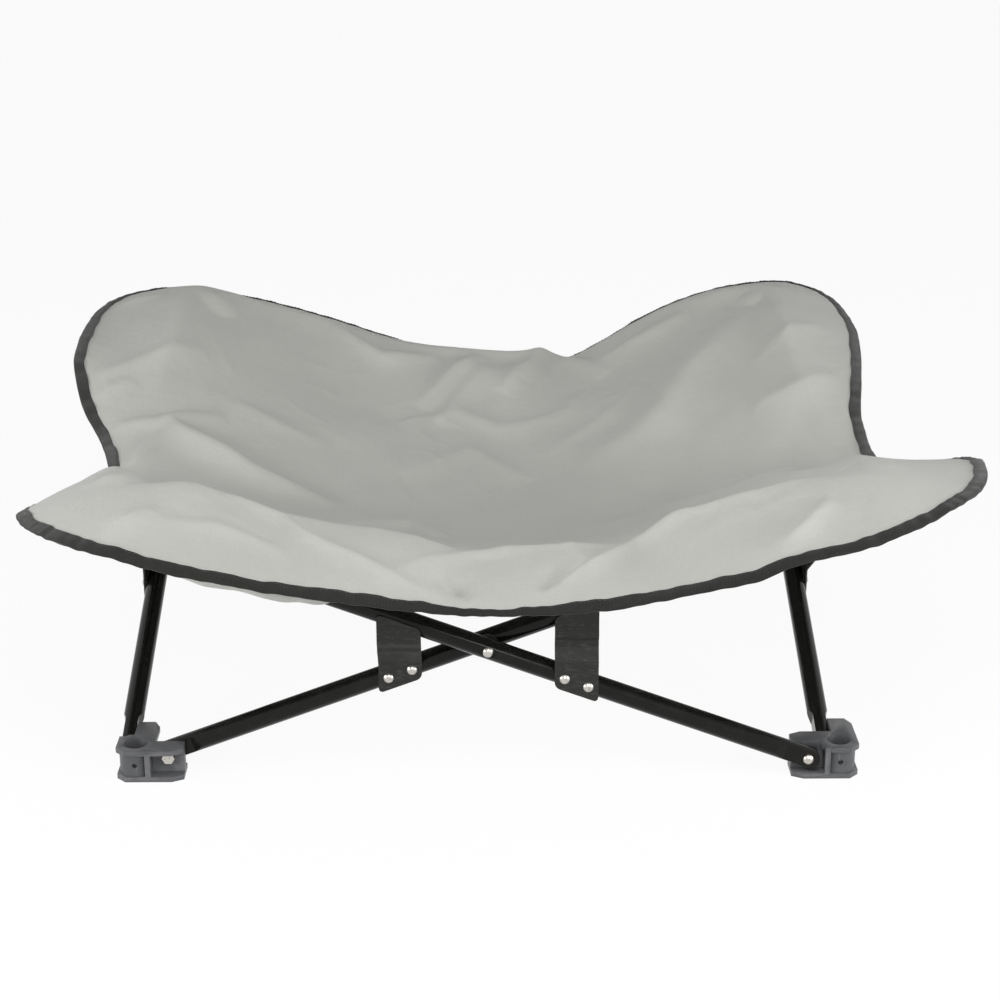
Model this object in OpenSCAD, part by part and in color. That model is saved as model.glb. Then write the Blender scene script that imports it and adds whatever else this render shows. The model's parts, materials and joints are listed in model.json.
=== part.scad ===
// Raised dog cot: a cloth sling hung from the four corner pegs of a folding scissor frame.
// Millimetres, +Z up. The origin is on the floor under the middle of the frame.
// The four sides and the four corners are the same, turned in quarter turns about Z.

/* [Frame] */
// Distance between the sockets of neighbouring feet
socket_spacing = 540; // [460:1:640]
// Height of the upper pins above the lower pins
pin_rise = 184; // [150:1:230]
// Outside diameter of the frame tubes
tube_d = 16; // [14:0.5:20]
// Wall of the frame tubes
tube_wall = 1.2; // [0.8:0.1:2]
// Gap between the two tubes of a scissor
tube_gap = 2; // [1.6:0.1:4]

/* [Tube ends] */
// Thickness of a tube end across its two pressed flats
flat_t = 10; // [9:0.5:11]
// Length of the flats from the pin towards the middle of the tube
flat_len = 19; // [17:0.5:26]
// Length over which a flat runs out into the round tube
flat_run = 8; // [4:0.5:16]
// Length of the tube end past the pin
tube_tail = 9; // [7:0.5:10]

/* [Corner brackets] */
// Height of a corner bracket
bracket_h = 26; // [24:0.5:34]
// Bore of the socket in a corner bracket
bore_d = 18; // [16:0.5:20]
// Wall of the socket round its bore
socket_wall = 4; // [3:0.5:5]
// Thickness of the top and bottom plates of a bracket
plate_t = 4; // [3:0.5:5]
// Reach of the plates from the middle of the bore, across an arm
plate_half = 14.5; // [13.5:0.5:15]
// Corner cut on the plates at the socket
plate_chamfer = 7; // [3:0.5:9]
// Reach of an arm from the middle of the bore
arm_len = 37; // [35:0.5:40]
// Corner cut on the end of an arm
arm_chamfer = 9; // [4:0.5:10]
// Distance of a pin from the middle of the bore
pin_reach = 25; // [24:0.5:28]
// Height of a pin above the bottom of its bracket
pin_h = 16; // [14:0.5:17]
// Thickness of the upright ribs in a bracket
rib_t = 4; // [3:0.5:5]
// Cross holes in the two outer faces of the socket wall
cross_hole_d = 4; // [3:0.25:5]

/* [Pins and rivets] */
// Diameter of the hinge pins
pin_d = 6; // [4:0.5:7]
// Diameter of a pin head
head_d = 8.2; // [7.5:0.1:10]
// Height of a pin head
head_h = 2.4; // [1.5:0.1:3.5]
// Width of a pin's nut across its corners
nut_d = 10; // [8:0.5:12]
// Height of a pin's nut
nut_h = 3.4; // [2:0.1:5]
// Diameter of the dimple pressed in a tube under a head
dimple_d = 11; // [10.2:0.1:13]
// Depth of that dimple
dimple_depth = 0.9; // [0.5:0.1:1.1]

/* [Finger guards] */
// Width of a finger guard flap
flap_w = 33; // [28:1:38]
// Thickness of a finger guard flap
flap_t = 1.5; // [1:0.1:2]
// Distance of a flap's middle from the scissor pivot, along the tube
flap_reach = 71; // [66:1:84]
// Distance between the two rivets of a flap, along the tube
rivet_pitch = 19; // [15:0.5:20]
// Diameter of a flap rivet
rivet_d = 4; // [3:0.25:4.5]
// Diameter of a flap rivet's head
rivet_head_d = 8; // [6.5:0.1:8.5]
// Height of a flap rivet's head
rivet_head_h = 2.2; // [1.5:0.1:3]
// Lean of an outer tube's flap, back over its upper part
flap_lean = 4; // [0:0.5:6]
// Height over which an outer tube's flap leans back
flap_lean_h = 10; // [6:1:16]
// Height over which an inner tube's flap steps out in front of the outer tube
flap_step_h = 25; // [22:1:30]
// Rise of an outer tube's flap above the middle of the other tube
flap_crest_outer = 8; // [0:1:10]
// Rise of an inner tube's flap above the middle of the other tube
flap_crest_inner = 1; // [-2:0.5:4]

/* [Corner pegs] */
// Height of a peg above its bracket
peg_rise = 26; // [22:1:40]
// Diameter of a peg's round head
peg_head_d = 22; // [19:0.5:26]
// Depth of a peg in its socket
peg_depth = 23; // [18:0.5:24]
// Depth of a peg's cross screws in the peg
screw_bite = 6; // [3:0.5:8]

/* [Sling] */
// Thickness of the cloth
cloth_t = 1.5; // [1:0.1:2.5]
// Drop of the cloth from a peg to the middle of the bed
sag_drop = 132; // [110:1:155]
// Width of the binding tape on the cloth
tape_w = 11; // [8:0.5:14]
// Thickness of the binding tape
tape_t = 1; // [0.6:0.1:1.5]
// Thickness of the pocket cloth under a lobe
pocket_t = 1.2; // [0.8:0.1:1.6]
// Drop of a corner pocket below the cloth's edge
pocket_drop = 12; // [6:1:16]

/* [Hidden] */
$fn = 48;

// Running clearance round a hinge pin
run_clear = 0.05;
// Clearance beside a part that turns
side_clear = 0.2;
// Play of a tube end beside its web
web_play = 0.5;
// Clearance of a peg in its socket
peg_clear = 0.25;
// Clearance of a rivet or a screw in its hole
rivet_clear = 0.05;
// Gap left where cloth lies on something
cloth_clear = 0.3;
// Gap between a flap and its tube
flap_clear = 0.2;
// Reach of a flap below its tube
flap_hem = 1;
// Gap between a tube's end and the upright rib behind it
tail_clear = 4;
// Gap between the outer tubes and a pocket's hem
hem_clear = 6;
// Gap along the cloth between the binding and a pocket's sewn side
seam_clear = 2.6;

half = socket_spacing / 2;
tube_r = tube_d / 2;
lane = tube_r + tube_gap / 2;
pin_half = half - pin_reach;
tube_half = sqrt(pow(pin_half, 2) + pow(pin_rise / 2, 2));
tilt = atan2(pin_rise / 2, pin_half);
pivot_z = pin_h + pin_rise / 2;
top_pin_z = pin_h + pin_rise;
top_z = top_pin_z + pin_h;
web_t = 2 * (lane - flat_t / 2 - web_play);
socket_r = bore_d / 2 + socket_wall;
flat_face = lane + flat_t / 2;
dimple_face = lane + tube_r - dimple_depth;
rib_at = pin_reach - tube_tail - rib_t - tail_clear;
cross_hole_z = bracket_h / 2;
// Directions of a socket's two outer faces
outer_faces = [180, 270];

// Outer face of a tube, measured from the middle of its tube
flap_seat = tube_r + flap_clear;
flap_front = flap_seat + flap_t;

// Height of the cloth over a peg and at the middle of the bed
peg_top = top_z + peg_rise;
peg_cloth_z = peg_top + cloth_clear + cloth_t;
sag_z = peg_cloth_z - sag_drop;

// The hung cloth is drawn for this half spacing of the sockets and this height over the front left peg
drawn_half = 270;
drawn_peg = 244;
// Edge of the cloth, from the middle of the front round by the left: right, back and up from the floor
edge_loop = [
    // Front, left half
    [0, -326, 155], [-56, -333, 162], [-112, -350, 177], [-175, -366, 195], [-220, -368, 205],
    [-265, -362, 216], [-309, -340, 222], [-337, -300, 223],
    // Left
    [-348, -255, 217], [-350, -200, 204], [-342, -140, 187], [-328, -70, 165], [-324, -15, 155],
    [-329, 10, 159], [-342, 50, 166], [-361, 85, 183], [-371, 112, 200], [-377, 140, 216],
    [-377, 180, 226], [-376, 240, 228], [-366, 295, 228], [-335, 330, 229],
    // Back
    [-290, 358, 222], [-228, 368, 209], [-175, 368, 195], [-76, 350, 167], [0, 335, 152],
    [60, 330, 148], [80, 330, 154], [118, 340, 170], [163, 354, 194], [200, 364, 208],
    [232, 366, 218], [277, 352, 230], [304, 342, 233], [335, 315, 230],
    // Right
    [352, 275, 223], [356, 220, 217], [352, 170, 210], [343, 110, 198], [336, 60, 178],
    [336, 20, 168], [341, -20, 163], [352, -60, 169], [366, -105, 190], [377, -150, 212],
    [377, -200, 229], [370, -250, 241], [360, -295, 246],
    // Front, right half
    [350, -315, 244], [329, -338, 241], [310, -350, 235], [281, -362, 227], [254, -368, 220],
    [217, -368, 211], [188, -364, 197], [151, -355, 185], [80, -332, 161], [41, -327, 156]
];
// Ridge that runs from peg to peg between the bed and the skirts, in the same order
ridge_loop = [
    // Front, left half
    [0, -310, 151], [-30, -303, 157], [-74, -292, 174], [-116, -285, 197], [-152, -280, 216],
    [-183, -278, 229], [-219, -277, 245], [-268, -270, 245],
    // Left
    [-280, -210, 231], [-288, -150, 205], [-300, -80, 175], [-314, -15, 157], [-308, 50, 172],
    [-296, 120, 205], [-285, 200, 236], [-270, 270, 247],
    // Back
    [-221, 292, 227], [-170, 298, 211], [-74, 300, 181], [0, 300, 176], [51, 302, 174],
    [79, 306, 164], [116, 300, 184], [158, 298, 208], [194, 295, 224], [224, 290, 236],
    // Right
    [270, 270, 249], [278, 200, 238], [285, 130, 212], [300, 60, 178], [314, 0, 160],
    [308, -50, 172], [292, -120, 205], [280, -200, 235], [272, -270, 249],
    // Front, right half
    [238, -275, 242], [195, -275, 227], [158, -275, 213], [130, -276, 201], [104, -280, 186],
    [83, -288, 173], [45, -306, 154]
];
// Roundness of the ridge, as a share of the half width
ridge_round = 0.05;
// Powers of the bed's curve inside the ridge and of the skirt's curve outside it
bed_power = 1.9;
skirt_power = 1.5;
// Least width of the skirt inside the binding
skirt_least = 8;
// Rays from the middle to the edge in an eighth of the cloth, and rings on a ray
eighth_count = 8;
rays = 8 * eighth_count;
bed_rings = [0.2, 0.4, 0.6, 0.78, 0.92, 1];
// Line that a pocket's hem keeps to, outside the outer tubes
hem_reach = half + lane + tube_r + hem_clear;
// First and last ray of a pocket in a quarter of the cloth
pocket_first_count = 3;
pocket_last_count = 2 * eighth_count - pocket_first_count;
pocket_step_count = 4;
// Run over which a pocket falls away from the edge, and the least depth of a pocket
pocket_fall = 10;
pocket_least = 6;

SIDES = ["front", "right", "back", "left"];
CORNERS = ["front_left", "front_right", "back_right", "back_left"];

// Places a corner's part, drawn with its bore at the origin and its arms along +X and +Y
module at_corner(i) {
    rotate([0, 0, 90 * i]) translate([-half, -half, 0]) children();
}

// Turns a foot over about the corner's diagonal, into the bracket at the top of the corner
module at_top(i) {
    at_corner(i) translate([0, 0, top_z]) rotate(180, [1, 1, 0]) children();
}

// Places a side's part, drawn on the front side with +Y pointing inwards
module at_side(i) {
    rotate([0, 0, 90 * i]) translate([0, -half, pivot_z]) children();
}

// Lays a tube's parts, drawn along X and facing -Y, on the outer or the inner lane
module on_lane(outer) {
    translate([0, outer ? -lane : lane, 0]) rotate([0, outer ? tilt : -tilt, 0]) children();
}

// A round head with a domed top, standing on z = 0
module dome(d, h) {
    r = (pow(d / 2, 2) + pow(h, 2)) / (2 * h);
    intersection() {
        translate([0, 0, h - r]) sphere(r);
        cylinder(d = d, h = h + 1);
    }
}

// Outline of a bracket's plate: an eight-sided boss and two arms, between two edges beside each arm
module plate_outline(from, to) {
    p = plate_half;
    c = plate_chamfer;
    polygon([
        [-p, -p + c], [-p + c, -p], [p - c, -p], [p, -p + c],
        [p, p - c], [p - c, p], [-p + c, p], [-p, p - c]
    ]);
    for (turn = [0, 90]) rotate(turn) arm_outline(from, to);
}

// Outline of an arm along +X, between two edges beside it, with its outer corners cut off
module arm_outline(from, to) {
    cut_from = from < -web_t ? arm_chamfer : 0;
    cut_to = to > web_t ? arm_chamfer : 0;
    polygon([
        [0, from], [arm_len - cut_from, from], [arm_len, from + cut_from / 2],
        [arm_len, to - cut_to / 2], [arm_len - cut_to, to], [0, to]
    ]);
}

// A web of an arm along +X with its ribs, from the socket to the end of the arm
module arm_web() {
    translate([0, -web_t / 2, 0]) cube([arm_len, web_t, bracket_h]);
    translate([rib_at, -plate_half, 0]) cube([rib_t, 2 * plate_half, bracket_h]);
}

// Bracket drawn as a foot: arm along +X with its tube on +Y, arm along +Y with its tube on -X
module bracket() {
    color([0.22, 0.23, 0.24])
    difference() {
        union() {
            linear_extrude(plate_t) plate_outline(-plate_half, plate_half);
            translate([0, 0, bracket_h - plate_t]) linear_extrude(plate_t)
                plate_outline(-plate_half, web_t / 2);
            cylinder(r = socket_r, h = bracket_h);
            for (turn = [0, 90]) rotate([0, 0, turn]) arm_web();
        }
        translate([0, 0, -1]) cylinder(d = bore_d, h = bracket_h + 2);
        for (turn = outer_faces) translate([0, 0, cross_hole_z]) rotate([0, 90, turn])
            cylinder(d = cross_hole_d, h = socket_r + plate_half);
        for (turn = [0, 90]) rotate([0, 0, turn]) pin_hole();
    }
}

// Hole for the pin through the web of an arm along +X
module pin_hole() {
    translate([pin_reach, web_t, pin_h]) rotate([90, 0, 0])
        cylinder(d = pin_d + 2 * run_clear, h = 2 * web_t);
}

// Pin through the web of an arm along +X and the tube end on its +Y side
module bracket_pin() {
    grip = flat_face + side_clear;
    translate([pin_reach, 0, pin_h]) rotate([-90, 0, 0]) {
        translate([0, 0, -web_t / 2 - nut_h / 2]) cylinder(d = pin_d, h = grip + web_t / 2 + nut_h / 2);
        translate([0, 0, grip]) dome(head_d, head_h);
        translate([0, 0, -web_t / 2 - nut_h]) cylinder(d = nut_d, h = nut_h, $fn = 6);
    }
}

// The two pins of a bracket
module bracket_pins() {
    color([0.75, 0.75, 0.73]) for (turn = [0, 90]) rotate([0, 0, turn]) bracket_pin();
}

// Peg standing in a top bracket's socket, with a round head for the cloth
module peg() {
    stem_r = bore_d / 2 - peg_clear;
    head_r = peg_head_d / 2;
    color([0.12, 0.12, 0.12])
    difference() {
        union() {
            translate([0, 0, top_z - peg_depth]) cylinder(r = stem_r, h = peg_depth + peg_rise - head_r);
            translate([0, 0, peg_top - head_r]) sphere(head_r);
        }
        for (turn = outer_faces) translate([0, 0, top_z - cross_hole_z]) rotate([0, 90, turn])
            translate([0, 0, stem_r - screw_bite]) cylinder(d = cross_hole_d, h = 2 * screw_bite);
    }
}

// The two screws through the socket wall into the peg
module peg_screws() {
    stem_r = bore_d / 2 - peg_clear;
    shank_d = cross_hole_d - 2 * rivet_clear;
    color([0.7, 0.7, 0.68])
    for (turn = outer_faces) translate([0, 0, top_z - cross_hole_z]) rotate([0, 90, turn]) {
        translate([0, 0, stem_r - screw_bite + side_clear])
            cylinder(d = shank_d, h = socket_r - stem_r + screw_bite - side_clear);
        translate([0, 0, socket_r]) dome(1.8 * cross_hole_d, 0.5 * cross_hole_d);
    }
}

// Cuts one face of a tube end flat, on the +Y side of a tube along X whose end is at +X
module flat_cut() {
    inner_end = tube_half - flat_len;
    far = tube_half + 2 * tube_d;
    translate([0, 0, -tube_d]) linear_extrude(2 * tube_d) polygon([
        [inner_end, flat_t / 2], [far, flat_t / 2], [far, tube_d],
        [inner_end - flat_run, tube_d], [inner_end - flat_run, tube_r]
    ]);
}

// Rounds a tube's end at +X about its pin
module tail_cut() {
    translate([tube_half, 0, 0]) rotate([90, 0, 0]) difference() {
        translate([0, -2 * tube_d, -tube_d]) cube([2 * tube_d, 4 * tube_d, 2 * tube_d]);
        translate([0, 0, -tube_d - 1]) cylinder(r = tube_tail, h = 2 * tube_d + 2);
    }
}

// Tube along X with its pivot at the origin, facing -Y. The flap is on its end at flap_side.
module tube(flap_side, dimple_side) {
    length = 2 * (tube_half + tube_tail);
    bore_length = 2 * (tube_half - flat_len - flat_run);
    color([0.06, 0.06, 0.06])
    difference() {
        translate([-length / 2, 0, 0]) rotate([0, 90, 0]) cylinder(d = tube_d, h = length);
        translate([-bore_length / 2, 0, 0]) rotate([0, 90, 0])
            cylinder(d = tube_d - 2 * tube_wall, h = bore_length);
        for (end = [0, 1]) mirror([end, 0, 0]) {
            flat_cut();
            mirror([0, 1, 0]) flat_cut();
            tail_cut();
            translate([tube_half, tube_d, 0]) rotate([90, 0, 0])
                cylinder(d = pin_d + 2 * run_clear, h = 2 * tube_d);
        }
        translate([0, tube_d, 0]) rotate([90, 0, 0]) cylinder(d = pin_d + 2 * run_clear, h = 2 * tube_d);
        translate([0, dimple_side * (tube_r - dimple_depth), 0]) rotate([-90 * dimple_side, 0, 0])
            cylinder(d = dimple_d, h = tube_d);
        for (s = [-1, 1]) translate([flap_side * flap_reach + s * rivet_pitch / 2, 0, 0]) rotate([90, 0, 0])
            cylinder(d = rivet_d + 2 * rivet_clear, h = tube_d);
    }
}

// Rivet through both tubes of a scissor, drawn along Y
module pivot_rivet() {
    seat = dimple_face + side_clear;
    color([0.78, 0.78, 0.76])
    for (s = [-1, 1]) rotate([90 * s, 0, 0]) {
        cylinder(d = pin_d, h = seat);
        translate([0, 0, seat]) dome(head_d, head_h);
    }
}

// Washer between the two tubes of a scissor
module pivot_washer() {
    thick = tube_gap - 2 * side_clear;
    color([0.85, 0.85, 0.82])
    rotate([90, 0, 0]) translate([0, 0, -thick / 2]) difference() {
        cylinder(d = tube_d - 1, h = thick);
        translate([0, 0, -1]) cylinder(d = pin_d + 2 * run_clear, h = thick + 2);
    }
}

// Height of a scissor's tube above its pivot, at a distance along the side
function tube_rise(x) = abs(x) * tan(tilt);

// Side view of a flap's bend: the outer tube's flap leans back, the inner tube's one passes in front
function flap_bend(outer, depth) = let (
        low = -tube_rise(flap_across() + flap_w / 2) - 2 * tube_d,
        knee = -tube_rise(flap_across() - flap_w / 2) + (outer ? 1.5 * tube_r : 0.25 * tube_r),
        lift = outer ? flap_lean_h : flap_step_h,
        shift = outer ? flap_lean : -2 * lane,
        high = 2 * tube_rise(flap_across() + flap_w / 2) + 2 * tube_d
    ) [[depth, low], [depth, knee], [depth + shift, knee + lift], [depth + shift, high]];

// Distance of a flap's middle from the pivot, along the side
function flap_across() = flap_reach * cos(tilt);

// Flap drawn beside its tube's pivot, standing in front of the scissor's other tube
module flap(outer) {
    side = outer ? 1 : -1;
    seat = -flap_seat + (outer ? -lane : lane);
    front = flap_bend(outer, seat - flap_t);
    rear = flap_bend(outer, seat);
    near = flap_across() - flap_w / 2;
    far = flap_across() + flap_w / 2;
    hem = tube_r / cos(tilt) + flap_hem;
    crest = outer ? flap_crest_outer : flap_crest_inner;
    color([0.1, 0.1, 0.11])
    difference() {
        intersection() {
            rotate([90, 0, 90]) translate([0, 0, side > 0 ? near : -far]) linear_extrude(flap_w)
                polygon(concat(front, [for (i = [len(rear) - 1 : -1 : 0]) rear[i]]));
            rotate([90, 0, 0]) translate([0, 0, -half]) linear_extrude(socket_spacing) polygon([
                [side * near, -tube_rise(near) - hem], [side * far, -tube_rise(far) - hem],
                [side * far, tube_rise(far) + crest], [side * near, tube_rise(near) + crest]
            ]);
        }
        on_lane(outer) for (s = [-1, 1]) translate([side * flap_reach + s * rivet_pitch / 2, 0, 0])
            rotate([90, 0, 0]) cylinder(d = rivet_d + 2 * rivet_clear, h = tube_d);
    }
}

// The two rivets that hold a flap, drawn on a tube along X that faces -Y
module flap_rivets(flap_side) {
    tail_d = 1.5 * rivet_d;
    bore_r = tube_r - tube_wall;
    tail_top = sqrt(pow(bore_r, 2) - pow(tail_d / 2, 2)) - side_clear;
    color([0.78, 0.78, 0.76])
    for (s = [-1, 1]) translate([flap_side * flap_reach + s * rivet_pitch / 2, 0, 0]) rotate([90, 0, 0]) {
        translate([0, 0, tail_top / 2]) cylinder(d = rivet_d, h = flap_front - tail_top / 2);
        translate([0, 0, tail_top / 2]) cylinder(d = tail_d, h = tail_top / 2);
        translate([0, 0, flap_front]) dome(rivet_head_d, rivet_head_h);
    }
}

// Place of a point round the cot: 0 at the middle of the front, 2 at the middle of the left, up to 8
function place_of(p) = let (r = max(abs(p[0]), abs(p[1])), u = p[0] / r, v = p[1] / r)
    v <= -1 ? (u > 0 ? 8 - u : -u) : u <= -1 ? 2 + v : v >= 1 ? 4 + u : 6 - v;

// Mean of two slopes that keeps a curve from overshooting its points
function mean_slope(a, b) = [for (c = [0 : 2]) a[c] * b[c] > 0 ? 2 * a[c] * b[c] / (a[c] + b[c]) : 0];

// Point of a loop at a place round the cot, on a smooth curve through the loop's points
function loop_point(loop, at) = let (
        count = len(loop),
        places = [for (p = loop) place_of(p)],
        i = max([for (j = [0 : count - 1]) if (places[j] <= at) j]),
        near = [for (s = [-1 : 2]) loop[(i + s + count) % count]],
        spot = [for (s = [-1 : 2]) places[(i + s + count) % count] + 8 * floor((i + s) / count)],
        slope = [for (s = [0 : 2]) (near[s + 1] - near[s]) / (spot[s + 1] - spot[s])],
        step = spot[2] - spot[1],
        t = (at - spot[1]) / step,
        leave = mean_slope(slope[0], slope[1]) * step,
        arrive = mean_slope(slope[1], slope[2]) * step,
        start = (near[1] * (1 + 2 * t) + leave * t) * pow(1 - t, 2),
        end = (near[2] * (3 - 2 * t) + arrive * (t - 1)) * t * t,
        drawn = start + end
    ) [drawn[0] * half / drawn_half, drawn[1] * half / drawn_half, drawn[2] + peg_cloth_z - drawn_peg];

// The edge and the ridge on each ray, and the share of a ray at which it crosses the ridge
function flat_norm(p) = norm([p[0], p[1]]);
edge_at = [for (i = [0 : rays - 1]) loop_point(edge_loop, 8 * ((rays - i) % rays) / rays)];
ridge_at = [for (i = [0 : rays - 1]) loop_point(ridge_loop, 8 * ((rays - i) % rays) / rays)];
split_at = [for (i = [0 : rays - 1]) flat_norm(ridge_at[i]) / flat_norm(edge_at[i])];

// A line from 0 at 0 to 1 at 1, with its start rounded
function rounded(u, round) = (sqrt(u * u + round * round) - round) / (sqrt(1 + round * round) - round);

// Rise of the bed from its middle to the ridge, at a share of the way
function bed_rise(t) = pow(1 - rounded(1 - t, ridge_round), bed_power);

// Point of the cloth on a ray, at a share of the way from the middle to the edge
function cloth_point(i, share) = let (
        inside = min(1, share / split_at[i]),
        outside = max(0, (share - split_at[i]) / (1 - split_at[i])),
        skirt = edge_at[i] - ridge_at[i],
        flat = ridge_at[i] * inside + skirt * outside,
        bed = sag_z + (ridge_at[i][2] - sag_z) * bed_rise(inside)
    ) [flat[0], flat[1], bed + skirt[2] * pow(outside, skirt_power)];

// Length of cloth for a whole share of a ray, as it is at the edge
function edge_pace(i) = let (skirt = edge_at[i] - ridge_at[i])
    norm([skirt[0], skirt[1], skirt_power * skirt[2]]) / (1 - split_at[i]);

// Share of the ring just inside the binding
function hem_share(i) = 1 - (tape_w + cloth_clear) / edge_pace(i);

// Shares of a ray's rings, from the middle of the bed to the edge
function ring_shares(i) = let (
        hem = hem_share(i),
        start = min(split_at[i], hem - skirt_least / edge_pace(i))
    ) concat([for (r = bed_rings) r * start], [start + (hem - start) / 2], [hem, 1]);

function unit(v) = v / norm(v);

// Directions at a ray's end: inwards along the cloth, and square to the cloth
function edge_in(i) = unit(cloth_point(i, hem_share(i)) - edge_at[i]);
function edge_up(i) = let (before = edge_at[(i + rays - 1) % rays], after = edge_at[(i + 1) % rays])
    unit(cross(unit(after - before), edge_in(i)));

// Triangles between two neighbouring loops of n points, split from loop a or from loop b
function band(a, b, n, from_a = true) = [for (i = [0 : n - 1]) let (j = (i + 1) % n)
    each from_a
        ? [[a + i, b + i, b + j], [a + i, b + j, a + j]]
        : [[a + i, b + i, a + j], [b + i, b + j, a + j]]];

// The cloth as a closed sheet: a fan at the middle and bands out to the edge, above and below
module sling_sheet() {
    shares = [for (i = [0 : rays - 1]) ring_shares(i)];
    rings = len(shares[0]);
    shift = [for (i = [0 : rays - 1]) edge_up(i) * cloth_t / 2];
    layer = function (side) [for (j = [0 : rings - 1], i = [0 : rays - 1])
        cloth_point(i, shares[i][j]) + side * (j < rings - 2 ? [0, 0, cloth_t / 2] : shift[i])];
    lower = rings * rays + 1;
    points = concat(
        layer(1), [[0, 0, sag_z + cloth_t / 2]], layer(-1), [[0, 0, sag_z - cloth_t / 2]]
    );
    faces = concat(
        [for (i = [0 : rays - 1]) [rings * rays, (i + 1) % rays, i]],
        [for (j = [0 : rings - 2]) each [for (f = band(j * rays, (j + 1) * rays, rays)) [f[0], f[2], f[1]]]],
        [for (i = [0 : rays - 1]) [lower + rings * rays, lower + i, lower + (i + 1) % rays]],
        [for (j = [0 : rings - 2]) each band(lower + j * rays, lower + (j + 1) * rays, rays)],
        [for (f = band((rings - 1) * rays, lower + (rings - 1) * rays, rays)) [f[0], f[2], f[1]]]
    );
    color([0.66, 0.67, 0.64]) polyhedron(points, faces);
}

// Binding tape folded over the edge of the cloth, all the way round
module edge_binding() {
    slot = cloth_t / 2 + cloth_clear;
    outside = slot + tape_t;
    back = -tape_t - cloth_clear;
    section = [
        [back, -outside], [tape_w, -outside], [tape_w, -slot], [-cloth_clear, -slot],
        [-cloth_clear, slot], [tape_w, slot], [tape_w, outside], [back, outside]
    ];
    sides = len(section);
    inwards = function (s) section[(s + 1) % sides][0] > section[s][0];
    points = [for (p = section, i = [0 : rays - 1])
        edge_at[i] + p[0] * edge_in(i) + p[1] * edge_up(i)];
    color([0.16, 0.16, 0.17])
    polyhedron(points, [for (s = [0 : sides - 1])
        each band(s * rays, ((s + 1) % sides) * rays, rays, !inwards(s))]);
}

// Point of a pocket's middle layer: level with the edge at its sewn side, then falling below it
function pocket_point(i, s) = let (
        start = cloth_point(i, hem_share(i) - seam_clear / edge_pace(i)),
        reach = max(abs(start[0]), abs(start[1])),
        end = min(hem_reach, reach - pocket_least),
        at = reach + (end - reach) * s / pocket_step_count,
        run = (reach - at) / reach * flat_norm(start),
        seat = start[2] - cloth_t - pocket_t / 2 - cloth_clear
    ) [start[0] * at / reach, start[1] * at / reach, seat - pocket_drop * (1 - exp(-run / pocket_fall))];

// Cloth pocket under one lobe, sewn along the edge and open towards the middle of the cot
module pocket(quarter) {
    columns = pocket_last_count - pocket_first_count + 1;
    layer = function (side) [for (s = [0 : pocket_step_count], c = [0 : columns - 1])
        pocket_point(quarter * 2 * eighth_count + pocket_first_count + c, s) + [0, 0, side * pocket_t / 2]];
    under = columns * (pocket_step_count + 1);
    cell = function (a, b, c, d) [[a, b, c], [a, c, d]];
    faces = concat(
        [for (s = [0 : pocket_step_count - 1], c = [0 : columns - 2]) let (p = s * columns + c)
            each cell(p, p + 1, p + columns + 1, p + columns)],
        [for (s = [0 : pocket_step_count - 1], c = [0 : columns - 2]) let (p = under + s * columns + c)
            each cell(p, p + columns, p + columns + 1, p + 1)],
        [for (c = [0 : columns - 2]) each cell(c, under + c, under + c + 1, c + 1)],
        [for (c = [0 : columns - 2]) let (p = pocket_step_count * columns + c)
            each cell(p, p + 1, under + p + 1, under + p)],
        [for (s = [0 : pocket_step_count - 1]) let (p = s * columns)
            each cell(p, p + columns, under + p + columns, under + p)],
        [for (s = [0 : pocket_step_count - 1]) let (p = s * columns + columns - 1)
            each cell(p, under + p, under + p + columns, p + columns)]
    );
    polyhedron(concat(layer(1), layer(-1)), faces);
}

// The four corner pockets
module corner_pockets() {
    color([0.6, 0.61, 0.58]) for (q = [0 : 3]) pocket(q);
}

for (i = [0 : 3]) {
    corner = CORNERS[i];
    side = SIDES[i];
    at_corner(i) bracket();
    at_corner(i) bracket_pins();
    at_top(i) bracket();
    at_top(i) bracket_pins();
    at_corner(i) peg();
    at_corner(i) peg_screws();
    at_side(i) on_lane(true) tube(1, -1);
    at_side(i) on_lane(false) tube(-1, 1);
    at_side(i) pivot_rivet();
    at_side(i) pivot_washer();
    at_side(i) flap(true);
    at_side(i) flap(false);
    at_side(i) on_lane(true) flap_rivets(1);
    at_side(i) on_lane(false) flap_rivets(-1);
}
sling_sheet();
edge_binding();
corner_pockets();
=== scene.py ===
"""Raised dog cot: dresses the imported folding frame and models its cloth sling.

Metres, +Z up, -Y is the front.
"""
import json
import logging
import math
from dataclasses import dataclass, field
from enum import Enum

import bpy
import numpy as np
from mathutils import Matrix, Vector


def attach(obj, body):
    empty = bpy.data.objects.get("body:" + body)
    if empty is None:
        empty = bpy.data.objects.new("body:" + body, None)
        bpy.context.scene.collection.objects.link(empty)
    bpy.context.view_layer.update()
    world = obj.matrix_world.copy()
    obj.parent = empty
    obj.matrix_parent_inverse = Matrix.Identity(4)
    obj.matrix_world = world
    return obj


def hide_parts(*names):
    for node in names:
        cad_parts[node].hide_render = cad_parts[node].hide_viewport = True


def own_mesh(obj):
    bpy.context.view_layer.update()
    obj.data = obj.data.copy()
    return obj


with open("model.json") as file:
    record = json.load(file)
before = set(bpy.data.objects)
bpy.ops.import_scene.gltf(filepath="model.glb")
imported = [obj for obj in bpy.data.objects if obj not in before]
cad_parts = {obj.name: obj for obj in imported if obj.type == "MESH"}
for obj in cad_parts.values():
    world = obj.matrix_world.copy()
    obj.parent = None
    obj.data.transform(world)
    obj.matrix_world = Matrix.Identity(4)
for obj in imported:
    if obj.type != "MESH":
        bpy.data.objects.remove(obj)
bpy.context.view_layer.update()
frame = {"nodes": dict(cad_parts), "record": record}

MM = 0.001
MERGE_DISTANCE = 1e-6
FLAT_ANGLE = math.radians(0.5)
log = logging.getLogger("dog_cot")


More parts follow.
